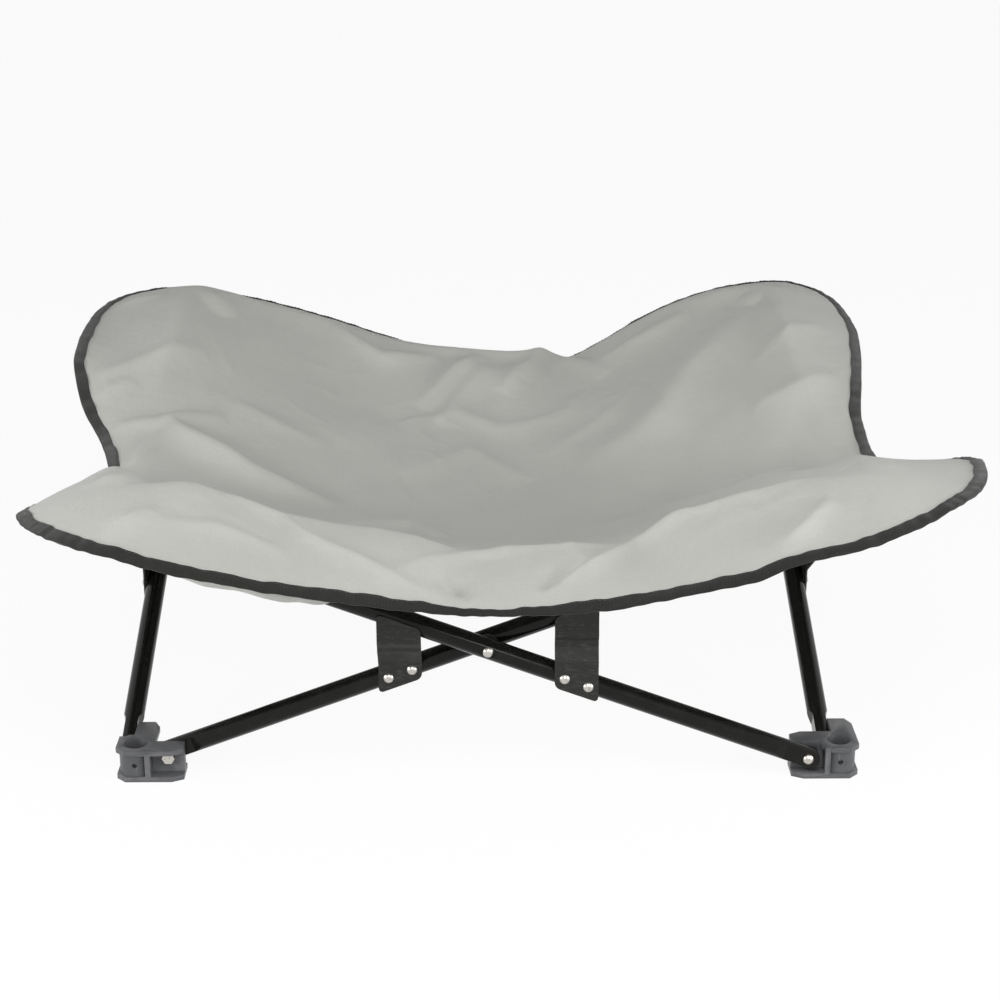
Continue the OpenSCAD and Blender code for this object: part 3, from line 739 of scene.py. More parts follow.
@dataclass
class SlingShape:
    """The sling's surface: an edge and a ridge round the cot, through their points, and a hollow bed.

    Points are in millimetres, in order from the middle of the front round by the left.
    """

    edge: tuple = (
        (0, -326, 155), (-56, -333, 162), (-112, -350, 177), (-175, -366, 195), (-220, -368, 205),
        (-265, -362, 216), (-309, -340, 221), (-338, -300, 220),
        (-347, -255, 208), (-347, -200, 192), (-340, -140, 178), (-328, -70, 163), (-324, -15, 155),
        (-329, 10, 159), (-342, 50, 166), (-361, 85, 183), (-371, 112, 200), (-377, 140, 216),
        (-377, 180, 226), (-376, 240, 228), (-366, 295, 228), (-335, 330, 229),
        (-290, 358, 222), (-228, 368, 209), (-175, 368, 195), (-76, 350, 167), (0, 335, 152),
        (60, 330, 148), (80, 330, 154), (118, 340, 170), (163, 354, 194), (200, 364, 208),
        (232, 366, 218), (277, 352, 230), (304, 342, 233), (335, 315, 230),
        (352, 275, 223), (356, 220, 217), (352, 170, 210), (343, 110, 198), (336, 60, 178),
        (336, 20, 168), (341, -20, 163), (352, -60, 169), (366, -105, 190), (377, -150, 212),
        (377, -200, 229), (370, -250, 241), (360, -295, 246),
        (350, -315, 244), (329, -338, 241), (310, -350, 235), (281, -362, 227), (254, -368, 220),
        (217, -368, 211), (188, -364, 197), (151, -355, 185), (80, -332, 161), (41, -327, 156))
    ridge: tuple = (
        (0, -262, 180), (-19, -261, 181), (-34, -260, 186), (-56, -260, 194), (-80, -262, 198),
        (-105, -265, 202), (-126, -268, 208), (-159, -272, 219), (-186, -275, 229), (-219, -277, 245),
        (-268, -270, 245),
        (-280, -210, 231), (-288, -150, 205), (-300, -80, 175), (-314, -15, 157), (-308, 50, 172),
        (-296, 120, 205), (-285, 200, 236), (-270, 270, 247),
        (-221, 292, 227), (-170, 298, 211), (-74, 300, 181), (0, 300, 176), (51, 302, 174),
        (79, 306, 164), (116, 300, 184), (158, 298, 208), (194, 295, 224), (224, 290, 236),
        (270, 270, 249), (278, 200, 238), (285, 130, 212), (300, 60, 178), (314, 0, 160),
        (308, -50, 172), (292, -120, 205), (280, -200, 235), (272, -270, 249),
        (253, -274, 246), (223, -275, 237), (193, -274, 227), (163, -272, 217), (133, -270, 205),
        (102, -266, 186), (71, -264, 185), (34, -262, 182))
    creases: tuple[Crease, ...] = (
        Crease(((-212, -266), (-194, -269), (-172, -276), (-150, -282), (-134, -295), (-113, -303),
                (-90, -309), (-71, -313), (-47, -318), (-20, -317)), 4.2, 5),
        Crease(((106, -270), (135, -272), (170, -273), (200, -273), (230, -272), (256, -268)), 3.5, 6),
        Crease(((150, -272), (129, -276), (108, -276), (84, -292), (60, -299), (46, -306), (34, -312)), 5, 5),
        Crease(((-71, -310), (-56, -298), (-39, -284), (-14, -270), (14, -263), (42, -262), (80, -264),
                (112, -272)), 3, 5),
        Crease(((-140, -110), (-116, -100), (-94, -78), (-63, -61), (-36, -95)), 6, 13),
        Crease(((-10, -316), (-19, -312), (-25, -304), (-40, -296)), -6, 7),
        Crease(((38, -310), (46, -301), (56, -293), (72, -284)), -6, 7),
        Crease(((-280, -356), (-262, -337), (-248, -327), (-232, -318)), 4, 7),
        Crease(((-240, -326), (-219, -323), (-196, -316), (-172, -316), (-140, -321)), 2.4, 5),
        Crease(((202, -360), (214, -344), (227, -331), (248, -308)), 6, 9),
        Crease(((312, -352), (319, -345), (327, -329), (330, -318)), 3, 6),
        Crease(((-314, -8), (-304, 8), (-291, 37), (-272, 62)), 5, 9),
        Crease(((-290, 66), (-258, 50), (-230, 37), (-207, 20), (-184, 8), (-130, -22)), 10, 14),
        Crease(((-335, 56), (-299, 62), (-279, 70), (-235, 92)), 5, 9),
        Crease(((-368, 112), (-353, 119), (-336, 126), (-320, 135), (-260, 172)), 4, 11),
        Crease(((-360, 92), (-338, 105), (-318, 116)), 3, 7),
        Crease(((-374, 246), (-360, 255), (-345, 263), (-310, 272)), 3, 8),
        Crease(((-150, 294), (-116, 272), (-100, 261), (-84, 267), (-45, 286)), 5, 10),
        Crease(((-62, 196), (-41, 234), (-29, 256), (-6, 292)), 6, 11),
        Crease(((-45, 170), (-29, 206), (-8, 247), (4, 270)), 4, 10),
        Crease(((-80, 160), (-23, 188), (14, 168), (95, 190)), 4, 13),
        Crease(((-75, 60), (-14, 120), (40, 66)), 4, 15),
        Crease(((70, 310), (88, 280), (118, 232)), 5, 10),
        Crease(((16, 226), (33, 256), (44, 275), (68, 318)), 7, 12),
        Crease(((110, 258), (159, 265), (205, 274)), 5, 12),
        Crease(((258, 248), (213, 204), (187, 176), (165, 137), (141, 109), (80, 80)), 10, 30),
        Crease(((120, -40), (190, -72), (230, -120), (268, -236)), 7, 15),
        Crease(((-230, 120), (-190, 100), (-140, 92)), 3, 12),
        Crease(((60, 120), (110, 150), (150, 190)), 3, 14),
        Crease(((320, 120), (290, 100), (240, 96)), 4, 12),
        Crease(((325, 200), (295, 180), (250, 150)), 3, 12),
    )
    bed_z: float = 112.0
    bed_power: float = 1.9
    skirt_power: float = 1.5
    half_cells: int = 160
    soften: int = 28
    soften_last: int = 2
    soften_bed: int = 700
    soften_lobe: int = 120
    lobe_width: float = 0.09
    still_from: float = 0.92
    crease_gain: float = 1.5
    crease_stop: float = 0.965
    crease_fade: float = 0.04
    peg_half: float = 270.0
    peg_cover_z: float = 243.4
    peg_cover_r: float = 26.0
    wrinkle_count: int = 60
    wrinkle_seed: int = 5
    wrinkle_field: float = 300.0
    wrinkle_bend: float = 0.5
    wrinkle_reach: tuple[float, float] = (20, 55)
    wrinkle_height: tuple[float, float] = (0.6, 1.4)
    wrinkle_width: tuple[float, float] = (3.5, 6.0)
    ripple_sizes: tuple[tuple[float, float], ...] = ((26.0, 1.6), (11.0, 0.7))
    ripple_seed: int = 11
    ripple_rise: float = 5.0
    ripple_least: float = 0.15
    pucker_waves: tuple[tuple[int, float], ...] = ((67, 0.3), (101, 1.7), (149, 4.0), (211, 2.2))
    pucker_height: float = 0.7
    pucker_share: float = 0.06

    @staticmethod
    def square_angle(x: np.ndarray, y: np.ndarray) -> tuple[np.ndarray, np.ndarray]:
        """Gives the place round a square, 0 to 8 from the front's middle by the left, and the reach.

        Args:
            x: Plan coordinates to the right.
            y: Plan coordinates to the back.

        Returns:
            The place round the square, and the reach: the larger coordinate.
        """
        reach = np.maximum(np.maximum(np.abs(x), np.abs(y)), 1e-9)
        u, v = x / reach, y / reach
        front = v <= -1 + 1e-9
        left = (u <= -1 + 1e-9) & ~front
        back = (v >= 1 - 1e-9) & ~front & ~left
        place = np.where(front, -u, np.where(left, 2 + v, np.where(back, 4 + u, 6 - v)))
        return np.mod(place, 8.0), reach

    @classmethod
    def loop(cls, points: tuple, at: np.ndarray) -> np.ndarray:
        """Reads a closed loop at places round the square.

        Args:
            points: The loop's points.
            at: The places, from 0 to 8.

        Returns:
            The loop's point at each place.
        """
        rows = np.array(points, float)
        place, _ = cls.square_angle(rows[:, 0], rows[:, 1])
        return np.stack([cls.smooth_read(place, rows[:, axis], at) for axis in range(3)], -1)

    @staticmethod
    def smooth_read(place: np.ndarray, value: np.ndarray, at: np.ndarray) -> np.ndarray:
        """Reads a curve through values round a loop of length 8, with no overshoot between them.

        Args:
            place: The places of the values, rising from 0.
            value: The values.
            at: The places to read.

        Returns:
            The value at each place.
        """
        p = np.concatenate([place[-2:] - 8, place, place[:2] + 8])
        v = np.concatenate([value[-2:], value, value[:2]])
        step = np.diff(p)
        slope = np.diff(v) / step
        same = slope[:-1] * slope[1:] > 0
        mean = 2 * slope[:-1] * slope[1:] / np.where(same, slope[:-1] + slope[1:], 1)
        tangent = np.zeros_like(v)
        tangent[1:-1] = np.where(same, mean, 0)
        i = np.clip(np.searchsorted(p, at, side="right") - 1, 0, len(p) - 2)
        t = (at - p[i]) / step[i]
        leave, arrive = step[i] * tangent[i], step[i] * tangent[i + 1]
        from_start = (v[i] * (1 + 2 * t) + leave * t) * (1 - t) ** 2
        from_end = (v[i + 1] * (3 - 2 * t) + arrive * (t - 1)) * t**2
        return from_start + from_end

    def grid(self) -> np.ndarray:
        """Gives the surface's points in metres.

        Returns:
            A square grid of points, rows from front to back and columns from left to right.
        """
        line = np.arange(-self.half_cells, self.half_cells + 1, dtype=float) / self.half_cells
        u, v = np.meshgrid(line, line)
        place, share = self.square_angle(u, v)
        edge = self.loop(self.edge, place)
        ridge = self.loop(self.ridge, place)
        split = np.linalg.norm(ridge[..., :2], axis=-1) / np.linalg.norm(edge[..., :2], axis=-1)
        inside = np.minimum(share / split, 1.0)
        outside = np.clip((share - split) / (1 - split), 0, 1)
        points = ridge * inside[..., None] + (edge - ridge) * outside[..., None]
        z = self.bed_z + (ridge[..., 2] - self.bed_z) * inside**self.bed_power
        z = z + (edge - ridge)[..., 2] * outside**self.skirt_power
        points[..., 2] = self.softened(z, self.soften)
        still = np.clip((inside - self.still_from) / (1 - self.still_from), 0, 1)
        lobe = np.exp(-((np.abs(u) - np.abs(v)) / self.lobe_width) ** 2)
        for axis in range(3):
            for share_even, times in ((1 - still, self.soften_bed), (lobe, self.soften_lobe)):
                even = self.softened(points[..., axis].copy(), times)
                points[..., axis] = (1 - share_even) * points[..., axis] + share_even * even
        x, y, z = (points[..., axis] for axis in range(3))
        hemmed = np.clip((self.crease_stop - share) / self.crease_fade, 0, 1)
        for crease in self.creases:
            z = z + hemmed * self.crease_gain * crease.lift(x, y)
        for crease in self.wrinkles():
            z = z + hemmed * crease.lift(x, y)
        z = z + self.ripples(place, share)
        points[..., 2] = self.softened(self.over_pegs(x, y, z), self.soften_last)
        return points * MM

    def wrinkles(self) -> list[Crease]:
        """Gives the fine wrinkles of use.

        Returns:
            Short, low folds, scattered over the cloth and each a little bent.
        """
        rng = np.random.default_rng(self.wrinkle_seed)
        found = []
        for _ in range(self.wrinkle_count):
            middle = rng.uniform(-self.wrinkle_field, self.wrinkle_field, 2)
            angle = rng.uniform(0, math.pi)
            bend = rng.uniform(-self.wrinkle_bend, self.wrinkle_bend)
            reach = rng.uniform(*self.wrinkle_reach)
            line = []
            for way in (-1, 0, 1):
                turn = angle + way * bend
                line.append(tuple(middle + way * reach * np.array((math.cos(turn), math.sin(turn)))))
            height = rng.uniform(*self.wrinkle_height)
            found.append(Crease(tuple(line), height, rng.uniform(*self.wrinkle_width)))
        return found

    def over_pegs(self, x: np.ndarray, y: np.ndarray, z: np.ndarray) -> np.ndarray:
        """Lays the cloth over the round heads of the pegs where it would pass through them."""
        away = np.hypot(np.abs(x) - self.peg_half, np.abs(y) - self.peg_half)
        return np.maximum(z, self.peg_cover_z - away**2 / (2 * self.peg_cover_r))

    def ripples(self, place: np.ndarray, share: np.ndarray) -> np.ndarray:
        """Gives the cloth's slight unevenness: soft waves in the bed, and puckers along the sewn edge.

        Args:
            place: The place round the square of each point.
            share: Its share of the way to the edge.

        Returns:
            The lift at each point.
        """
        rng = np.random.default_rng(self.ripple_seed)
        cell = self.peg_half / self.half_cells
        line = np.fft.fftfreq(share.shape[0], cell)
        waves = np.hypot(*np.meshgrid(line, line))
        total = np.zeros(share.shape)
        for size, height in self.ripple_sizes:
            white = np.fft.fft2(rng.standard_normal(share.shape))
            field_ = np.fft.ifft2(white * np.exp(-2 * (np.pi * waves * size) ** 2)).real
            total += height * field_ / field_.std()
        total *= np.clip((1 - share) * self.ripple_rise, self.ripple_least, 1)
        turn = place * math.pi / 4
        pucker = sum(np.sin(turn * count + phase) for count, phase in self.pucker_waves)
        pucker = pucker / len(self.pucker_waves)
        return total + self.pucker_height * pucker * np.exp((share - 1) / self.pucker_share)

    @staticmethod
    def softened(z: np.ndarray, times: int) -> np.ndarray:
        """Evens out a grid of values in place, with its border held.

        Args:
            z: The values.
            times: How many times each is moved half way to its neighbours' mean.

        Returns:
            The same grid.
        """
        for _ in range(times):
            mean = (z[:-2, 1:-1] + z[2:, 1:-1] + z[1:-1, :-2] + z[1:-1, 2:]) / 4
            z[1:-1, 1:-1] = 0.5 * z[1:-1, 1:-1] + 0.5 * mean
        return z


@dataclass(frozen=True)
class Patch:
    """A part of the sling that moves as one: the body that carries it and how it gathers with the fold."""

    label: str
    body: str
    rests_on: str
    axis: tuple[float, float, float] | None = None
    anchor: tuple[float, float, float] = (0, 0, 0)
    keep: float = 1.0

    @classmethod
    def lobe(cls, corner: Corner) -> "Patch":
        """Gives the patch of a corner's lobe, which stays on the corner's top bracket."""
        return cls(f"lobe_{corner.label}", f"top_{corner.label}", f"peg_{corner.label}")

    @classmethod
    def panel(cls, side: Side, lane: Lane, folded_lane: float) -> "Patch":
        """Gives the patch of half a side, which gathers against the tube that carries it.

        Args:
            side: The side.
            lane: The lane of the tube.
            folded_lane: The distance from the middle at which the folded patch lies, in metres.

        Returns:
            The patch.
        """
        out = (*side.value, 0)
        anchor = tuple(lane.value * part for part in out)
        return cls(f"panel_{side.label}_{lane.label}", f"{lane.label}_{side.label}",
                   f"tube_{lane.label}_{side.label}", out, anchor, folded_lane / lane.value)


@dataclass
class Sling:
    """The cloth sling: the sheet in patches, the binding tape over its edge, and the corner pockets."""

    cloth: bpy.types.Material
    pocket_cloth: bpy.types.Material
    tape: bpy.types.Material
    thread: bpy.types.Material
    shape: SlingShape = field(default_factory=SlingShape)
    thickness: float = 0.0014
    lobe_start: float = 0.72
    lobe_fill: float = 0.9
    panel_fill: float = 0.5
    folded_lanes: dict[Lane, float] = field(default_factory=lambda: {Lane.OUTER: 0.009, Lane.INNER: 0.008})
    tape_width: float = 0.0094
    tape_thickness: float = 0.0009
    tape_crisp: float = math.radians(50)
    tape_even: int = 3
    tape_clear: float = 0.0001
    tape_waves: tuple[tuple[float, float], ...] = ((0.05, 170), (0.04, 61))
    front_turn: float = 0.5
    front_turn_reach: float = 0.048
    stitch_pitch: float = 0.0036
    stitch_length: float = 0.0027
    stitch_radius: float = 0.0004
    stitch_inset: float = 0.0075
    stitch_rise: float = 0.0019
    stitch_rings: tuple[tuple[int, float], ...] = ((-1, 0.45), (0, 1.0), (1, 0.45))
    hem_cells: int = 5
    pocket_start: float = 0.3
    pocket_thickness: float = 0.0012
    pocket_hem: float = 0.293
    pocket_least: float = 0.006
    pocket_steps: int = 10
    pocket_fall: float = 0.010
    pocket_gap: float = 0.003
    pocket_taper: float = 0.07
    pocket_drop: float = 0.012
    pocket_deep_drop: float = 0.024
    pocket_sway: float = 0.0012
    pocket_sway_turn: float = 130.0
    deep_pockets: tuple[str, ...] = ("lobe_front_left", "panel_front_outer")

    def __post_init__(self) -> None:
        """Lays out the surface, its normals and the patches."""
        self.points = self.shape.grid()
        self.size = self.points.shape[0]
        down = np.gradient(self.points, axis=0)
        across = np.gradient(self.points, axis=1)
        normals = np.cross(across, down)
        self.normals = normals / np.linalg.norm(normals, axis=-1, keepdims=True)
        self.patches = [Patch.lobe(corner) for corner in Corner]
        self.patches += [Patch.panel(side, lane, self.folded_lanes[lane]) for side in Side for lane in Lane]
        self.lay_out_edge()

    def build(self) -> None:
        """Builds each patch with its binding, then the pockets."""
        cells = self.sorted_cells()
        for number, patch in enumerate(self.patches):
            sheet = self.make_sheet(patch, cells[number])
            binding = self.make_binding(patch, self.run_of(number))
            pocket = self.make_pocket(patch, [k for k in self.run_of(number) if self.has_pocket(k)])
            for piece, slot, node in ((sheet, "cloth", "sling_sheet"), (binding, "binding", "edge_binding"),
                                      (pocket, "pocket", "corner_pockets")):
                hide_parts(node)
                self.carry(piece, patch)

    def carry(self, piece: bpy.types.Object, patch: Patch) -> None:
        """Puts a piece on its patch's body, with a mesh of its own where the patch has a gathering axis.

        Args:
            piece: The piece.
            patch: Its patch.
        """
        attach(piece, patch.body)
        if patch.axis is not None:
            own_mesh(piece)
        log.info("made %s on %s", piece.name, patch.body)

    def patch_at(self, i: np.ndarray, j: np.ndarray) -> np.ndarray:
        """Gives the number of the patch at grid places counted from the middle.

        Args:
            i: Places to the right.
            j: Places to the back.

        Returns:
            The patch's number at each place.
        """
        start = self.lobe_start * self.shape.half_cells
        corner = np.where(j < 0, np.where(i < 0, 0, 1), np.where(i < 0, 3, 2))
        front, back = (np.abs(j) > np.abs(i)) & (j < 0), (np.abs(j) > np.abs(i)) & (j > 0)
        right = ~front & ~back & (i > 0)
        side = np.where(front, 0, np.where(right, 1, np.where(back, 2, 3)))
        first = np.where(front, i < 0, np.where(right, j < 0, np.where(back, i > 0, j > 0)))
        panel = len(Corner) + 2 * side + np.where(first, 0, 1)
        return np.where(np.minimum(np.abs(i), np.abs(j)) > start, corner, panel)

    def sorted_cells(self) -> list[list[tuple[int, ...]]]:
        """Sorts the grid's cells by patch, and cuts those on a diagonal in two.

        Returns:
            The faces of each patch, by the grid's vertex numbers.
        """
        n, half = self.size, self.shape.half_cells
        found: list[list[tuple[int, ...]]] = [[] for _ in self.patches]
        line = np.arange(n - 1) + 0.5 - half
        i, j = np.meshgrid(line, line)
        owner = self.patch_at(i, j)
        for r in range(n - 1):
            for c in range(n - 1):
                a, b, d, e = r * n + c, r * n + c + 1, (r + 1) * n + c + 1, (r + 1) * n + c
                u, v = c + 0.5 - half, r + 0.5 - half
                if abs(u) != abs(v) or owner[r, c] < len(Corner):
                    found[owner[r, c]].append((a, b, d, e))
                    continue
                halves = ((a, b, d), (a, d, e)) if u * v > 0 else ((a, b, e), (b, d, e))
                for half_cell in halves:
                    at = np.mean([(k % n - half, k // n - half) for k in half_cell], axis=0)
                    found[int(self.patch_at(np.array(at[0]), np.array(at[1])))].append(half_cell)
        return found

    def make_sheet(self, patch: Patch, cells: list[tuple[int, ...]]) -> bpy.types.Object:
        """Makes a patch of the cloth.

        Args:
            patch: The patch.
            cells: Its faces on the grid.

        Returns:
            The patch's object.
        """
        used = sorted({k for cell in cells for k in cell})
        number = {k: i for i, k in enumerate(used)}
        middle = self.points.reshape(-1, 3)[used]
        normal = self.normals.reshape(-1, 3)[used]
        top = [tuple(number[k] for k in cell) for cell in cells]
        piece = self.make_layer(f"cloth_{patch.label}", middle, normal * self.thickness / 2, top, self.cloth)
        self.set_normals(piece, np.concatenate([normal, -normal]), 2 * len(top))
        return piece

    def make_layer(self, name: str, middle: np.ndarray, lift: np.ndarray, top: list,
                   material: bpy.types.Material) -> bpy.types.Object:
        """Makes a layer of cloth with two faces and closed borders.

        Args:
            name: The layer's name.
            middle: The points of its middle.
            lift: The way from there to its upper face.
            top: The upper face's cells, by the points' numbers.
            material: The cloth.

        Returns:
            The layer's object, with its plan as its flat coordinates.
        """
        count = len(middle)
        points = np.concatenate([middle + lift, middle - lift])
        under = [tuple(count + k for k in reversed(cell)) for cell in top]
        edges = {(cell[k], cell[(k + 1) % len(cell)]) for cell in top for k in range(len(cell))}
        walls = [(b, a, count + a, count + b) for a, b in edges if (b, a) not in edges]
        piece = new_object(name, points, top + under + sorted(walls), material)
        self.set_flat(piece, points[:, :2])
        return piece

    @staticmethod
    def set_flat(piece: bpy.types.Object, flat: np.ndarray) -> None:
        """Writes flat coordinates as the piece's UV map.

        Args:
            piece: The piece.
            flat: The coordinates of each vertex, in metres.
        """
        layer = piece.data.uv_layers.new(name="flat")
        corner = np.empty(len(piece.data.loops), np.int32)
        piece.data.loops.foreach_get("vertex_index", corner)
        layer.data.foreach_set("uv", flat[corner].astype(np.float32).ravel())

    @staticmethod
    def set_normals(piece: bpy.types.Object, normals: np.ndarray, smooth_faces: int) -> None:
        """Gives a patch's first faces the whole sheet's normals, so that its cuts don't show.

        Args:
            piece: The patch's object.
            normals: A normal for each vertex.
            smooth_faces: How many faces take them; the rest stay flat.
        """
        mesh = piece.data
        found = []
        for face in mesh.polygons:
            for k in face.vertices:
                found.append(tuple(normals[k]) if face.index < smooth_faces else tuple(face.normal))
        mesh.normals_split_custom_set(found)

    def lay_out_edge(self) -> None:
        """Lays out the edge: its grid places against the clock, its directions and the length along it."""
        last, half = self.size - 1, self.shape.half_cells
        front = [(0, c) for c in range(last)]
        right = [(r, last) for r in range(last)]
        back = [(last, c) for c in range(last, 0, -1)]
        left = [(r, 0) for r in range(last, 0, -1)]
        self.spots = front + right + back + left
        row, column = np.array(self.spots).T
        deep_row = np.clip(row, self.hem_cells, last - self.hem_cells)
        deep_column = np.clip(column, self.hem_cells, last - self.hem_cells)
        self.edge = self.points[row, column]
        self.hem = self.points[deep_row, deep_column]
        self.hem_normal = self.normals[deep_row, deep_column]
        self.ahead = self.unit(np.roll(self.edge, -1, 0) - np.roll(self.edge, 1, 0))
        level = sum(np.roll(self.hem_normal, step, 0) for step in range(-self.tape_even, self.tape_even + 1))
        self.up = self.unit(level - (level * self.ahead).sum(1, keepdims=True) * self.ahead)
        self.inwards = np.cross(self.up, self.ahead)
        steps = np.linalg.norm(np.diff(self.edge, axis=0), axis=1)
        self.along = np.concatenate([[0], np.cumsum(steps)])
        middle_row, middle_column = (row + np.roll(row, -1)) / 2, (column + np.roll(column, -1)) / 2
        self.edge_owner = self.patch_at(middle_column - half, middle_row - half)

    @staticmethod
    def unit(rows: np.ndarray) -> np.ndarray:
        """Gives rows of vectors their unit length."""
        return rows / np.linalg.norm(rows, axis=-1, keepdims=True)

    def run_of(self, number: int) -> list[int]:
        """Gives the edge places of a patch.

        Args:
            number: The patch's number.

        Returns:
            The places in order, with both ends.
        """
        total = len(self.spots)
        mine = {k for k in range(total) if self.edge_owner[k] == number}
        start = next(k for k in mine if (k - 1) % total not in mine)
        return [(start + k) % total for k in range(len(mine) + 1)]

    def has_pocket(self, k: int) -> bool:
        """Tells whether an edge place is on a corner's pocket."""
        half = self.shape.half_cells
        return min(abs(part - half) for part in self.spots[k]) >= self.pocket_start * half

    def pocket_share(self, k: int) -> float:
        """Gives the share of its slack that a pocket has.

        Args:
            k: The edge place.

        Returns:
            The share there, which is none at the pocket's ends.
        """
        half = self.shape.half_cells
        within = min(abs(part - half) for part in self.spots[k]) / half - self.pocket_start
        return math.sin(math.pi / 2 * min(within / self.pocket_taper, 1))

    def cloth_height(self, k: int, reach: float) -> float:
        """Gives the cloth's height on the line from an edge place to the middle.

        Args:
            k: The edge place.
            reach: The larger plan coordinate of the point, in metres.

        Returns:
            The height.
        """
        half = self.shape.half_cells
        shares = np.arange(half // 2, half + 1) / half
        row, column = (np.rint(half + (part - half) * shares).astype(int) for part in self.spots[k])
        line = self.points[row, column]
        return float(np.interp(reach, np.abs(line[:, :2]).max(1), line[:, 2]))

    def make_binding(self, patch: Patch, run: list[int]) -> bpy.types.Object:
        """Makes the length of tape on a patch's part of the edge, folded over the cloth and stitched.

        Args:
            patch: The patch.
            run: Its edge places.

        Returns:
            The tape's object.
        """
        section = self.tape_section()
        sides = len(section)
        points, flat = [], []
        for k in run:
            width = self.tape_share(k, self.along[k])
            for inset, high in section:
                points.append(self.edge[k] + self.inwards[k] * inset * width + self.up[k] * high)
                flat.append((self.along[k], inset + high))
        faces = []
        last = (len(run) - 1) * sides
        for ring in range(0, last, sides):
            for b in range(sides):
                c = (b + 1) % sides
                faces.append((ring + b, ring + c, ring + sides + c, ring + sides + b))
        faces += [tuple(range(sides - 1, -1, -1)), tuple(last + b for b in range(sides))]
        tape_faces = len(faces)
        for first, second in zip(run[:-1], run[1:]):
            self.add_stitches(points, flat, faces, first, second)
        piece = new_object(f"binding_{patch.label}", np.array(points), faces, self.tape)
        piece.data.materials.append(self.thread)
        for face in piece.data.polygons[tape_faces:]:
            face.material_index = 1
        piece.data.set_sharp_from_angle(angle=self.tape_crisp)
        self.set_flat(piece, np.array(flat))
        return piece

    def tape_share(self, k: int, along: float) -> float:
        """Gives the tape's width as a share: a little uneven, and turned under at the middle of the front.

        Args:
            k: The edge place.
            along: The length along the edge there.

        Returns:
            The share of the tape's full width.
        """
        x, y, _ = self.edge[k]
        turned = self.front_turn * math.exp(-(x / self.front_turn_reach) ** 2) if y < 0 else 0.0
        uneven = 1.0
        for height, turn in self.tape_waves:
            uneven += height * math.sin(along * turn)
        return (1 - turned) * uneven

    def add_stitches(self, points: list, flat: list, faces: list, first: int, second: int) -> None:
        """Adds the stitches that fall between two edge places, on both sides of the cloth.

        Args:
            points: The tape's points, which it extends.
            flat: Their flat coordinates, which it extends.
            faces: The tape's faces, which it extends.
            first: The edge place before.
            second: The edge place after.
        """
        start = self.along[first]
        length = float(np.linalg.norm(self.edge[second] - self.edge[first]))
        number = math.ceil(start / self.stitch_pitch)
        while number * self.stitch_pitch < start + length:
            share = (number * self.stitch_pitch - start) / length
            inset = self.stitch_inset * self.tape_share(first, start + share * length)
            middle = self.edge[first] * (1 - share) + self.edge[second] * share + self.inwards[first] * inset
            for side in (1, -1):
                self.add_stitch(points, faces, middle + side * self.stitch_rise * self.up[first], first)
                flat.extend([(start, 0)] * (len(points) - len(flat)))
            number += 1

    def add_stitch(self, points: list, faces: list, middle: np.ndarray, k: int) -> None:
        """Adds one stitch: a short length of thread with thinner ends.

        Args:
            points: The tape's points, which it extends.
            faces: The tape's faces, which it extends.
            middle: The stitch's middle.
            k: The edge place that gives its directions.
        """
        base = len(points)
        for step, thin in self.stitch_rings:
            ring = middle + self.ahead[k] * step * self.stitch_length / 2
            for side, high in ((1, 0), (0, 1), (-1, 0), (0, -1)):
                points.append(ring + (self.inwards[k] * side + self.up[k] * high) * thin * self.stitch_radius)
        for ring in (0, 4):
            for b in range(4):
                faces.append(tuple(base + ring + v for v in (b, (b + 1) % 4, 4 + (b + 1) % 4, 4 + b)))
        faces.append(tuple(base + v for v in (3, 2, 1, 0)))
        faces.append(tuple(base + 8 + v for v in (0, 1, 2, 3)))

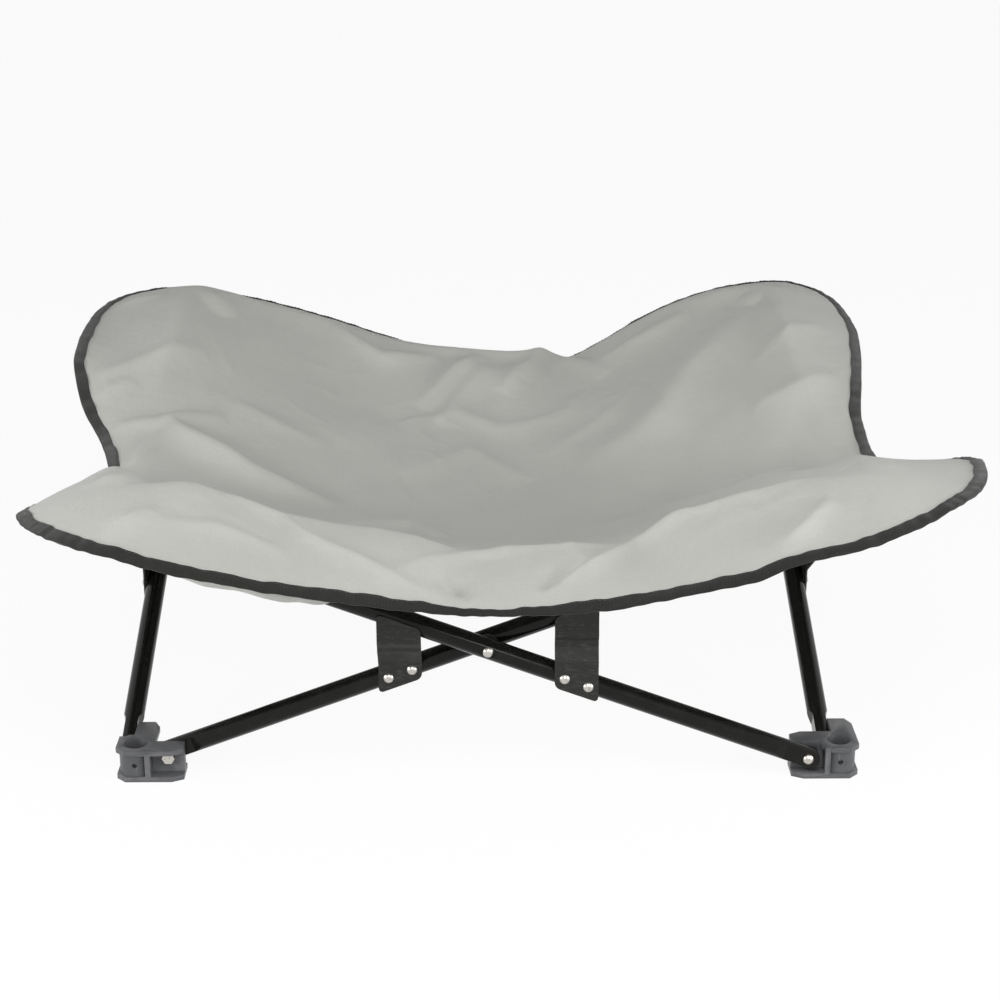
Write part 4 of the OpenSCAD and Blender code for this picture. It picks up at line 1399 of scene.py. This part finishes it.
    def make_pocket(self, patch: Patch, run: list[int]) -> bpy.types.Object:
        """Makes a patch's part of a corner pocket: a second layer sewn along the binding and open inwards.

        Args:
            patch: The patch.
            run: The edge places that have a pocket.

        Returns:
            The pocket's object.
        """
        layers = []
        drop = self.pocket_deep_drop if patch.label in self.deep_pockets else self.pocket_drop
        for k in run:
            seam = self.hem[k] - self.hem_normal[k] * (self.thickness + self.pocket_thickness)
            reach = max(abs(seam[0]), abs(seam[1]))
            stop = min(self.pocket_hem, reach - self.pocket_least)
            row = []
            slack = drop * self.pocket_share(k)
            for step in range(self.pocket_steps + 1):
                at = reach + (stop - reach) * step / self.pocket_steps
                fall = 1 - math.exp(-(reach - at) / self.pocket_fall)
                sway = self.pocket_sway * math.sin(self.along[k] * self.pocket_sway_turn) * fall
                under = self.cloth_height(k, at) - self.pocket_gap
                high = seam[2] - slack * fall + sway if step else seam[2]
                row.append((seam[0] * at / reach, seam[1] * at / reach, min(high, under) if step else high))
            layers.append(row)
        columns, rows = len(layers), self.pocket_steps + 1
        middle = np.array(layers).reshape(-1, 3)
        lift = np.array((0, 0, self.pocket_thickness / 2))
        top = [(c * rows + r, (c + 1) * rows + r, (c + 1) * rows + r + 1, c * rows + r + 1)
               for c in range(columns - 1) for r in range(rows - 1)]
        piece = self.make_layer(f"pocket_{patch.label}", middle, lift, top, self.pocket_cloth)
        self.set_normals(piece, self.vertex_normals(piece), 2 * len(top))
        return piece

    @staticmethod
    def vertex_normals(piece: bpy.types.Object) -> np.ndarray:
        """Gives the mesh's own normals by vertex."""
        return np.array([tuple(vertex.normal) for vertex in piece.data.vertices])

    def tape_section(self) -> list[tuple[float, float]]:
        """Gives the folded tape's section.

        Returns:
            Its points, as distances inwards from the cloth's edge and up from its middle.
        """
        w, t, slot = self.tape_width, self.tape_thickness, self.thickness / 2 + self.tape_clear
        top = [(w, slot), (w, slot + 0.7 * t), (0.92 * w, slot + t), (0.5 * w, slot + 1.25 * t),
               (0.1 * w, slot + 1.05 * t), (-0.6 * t, 0.75 * slot + 0.5 * t), (-1.1 * t, 0)]
        under = [(along, -high) for along, high in reversed(top[:-1])]
        inside = [(2 * self.tape_clear, -slot), (2 * self.tape_clear, slot)]
        return top + under + inside


def main() -> None:
    """Builds the scene in order."""
    logging.basicConfig(level=logging.INFO, format="%(name)s: %(message)s")
    Studio().build()
    cloth = Canvas().make()
    tape = RibbedTape().make()
    thread = RibbedTape("charcoal_thread", (0.06, 0.06, 0.063, 1), (0.03, 0.03, 0.032, 1), 2600.0).make()
    finishes = {
        "tube": GlossCoat().make(),
        "bracket": MouldedPlastic("grey_plastic", (0.055, 0.057, 0.061, 1), (0.13, 0.13, 0.135, 1)).make(),
        "peg": MouldedPlastic("black_plastic", (0.018, 0.018, 0.02, 1), (0.06, 0.06, 0.06, 1)).make(),
        "flap": GuardSheet().make(),
        "rivet": Nickel().make(),
        "washer": MouldedPlastic("black_nylon", (0.014, 0.014, 0.013, 1), (0.04, 0.04, 0.038, 1)).make(),
    }
    FoldingFrame(finishes=finishes).dress()
    FingerGuards().build()
    Sling(cloth, Canvas("pocket_canvas").make(), tape, thread).build()


if __name__ == "__main__":
    main()
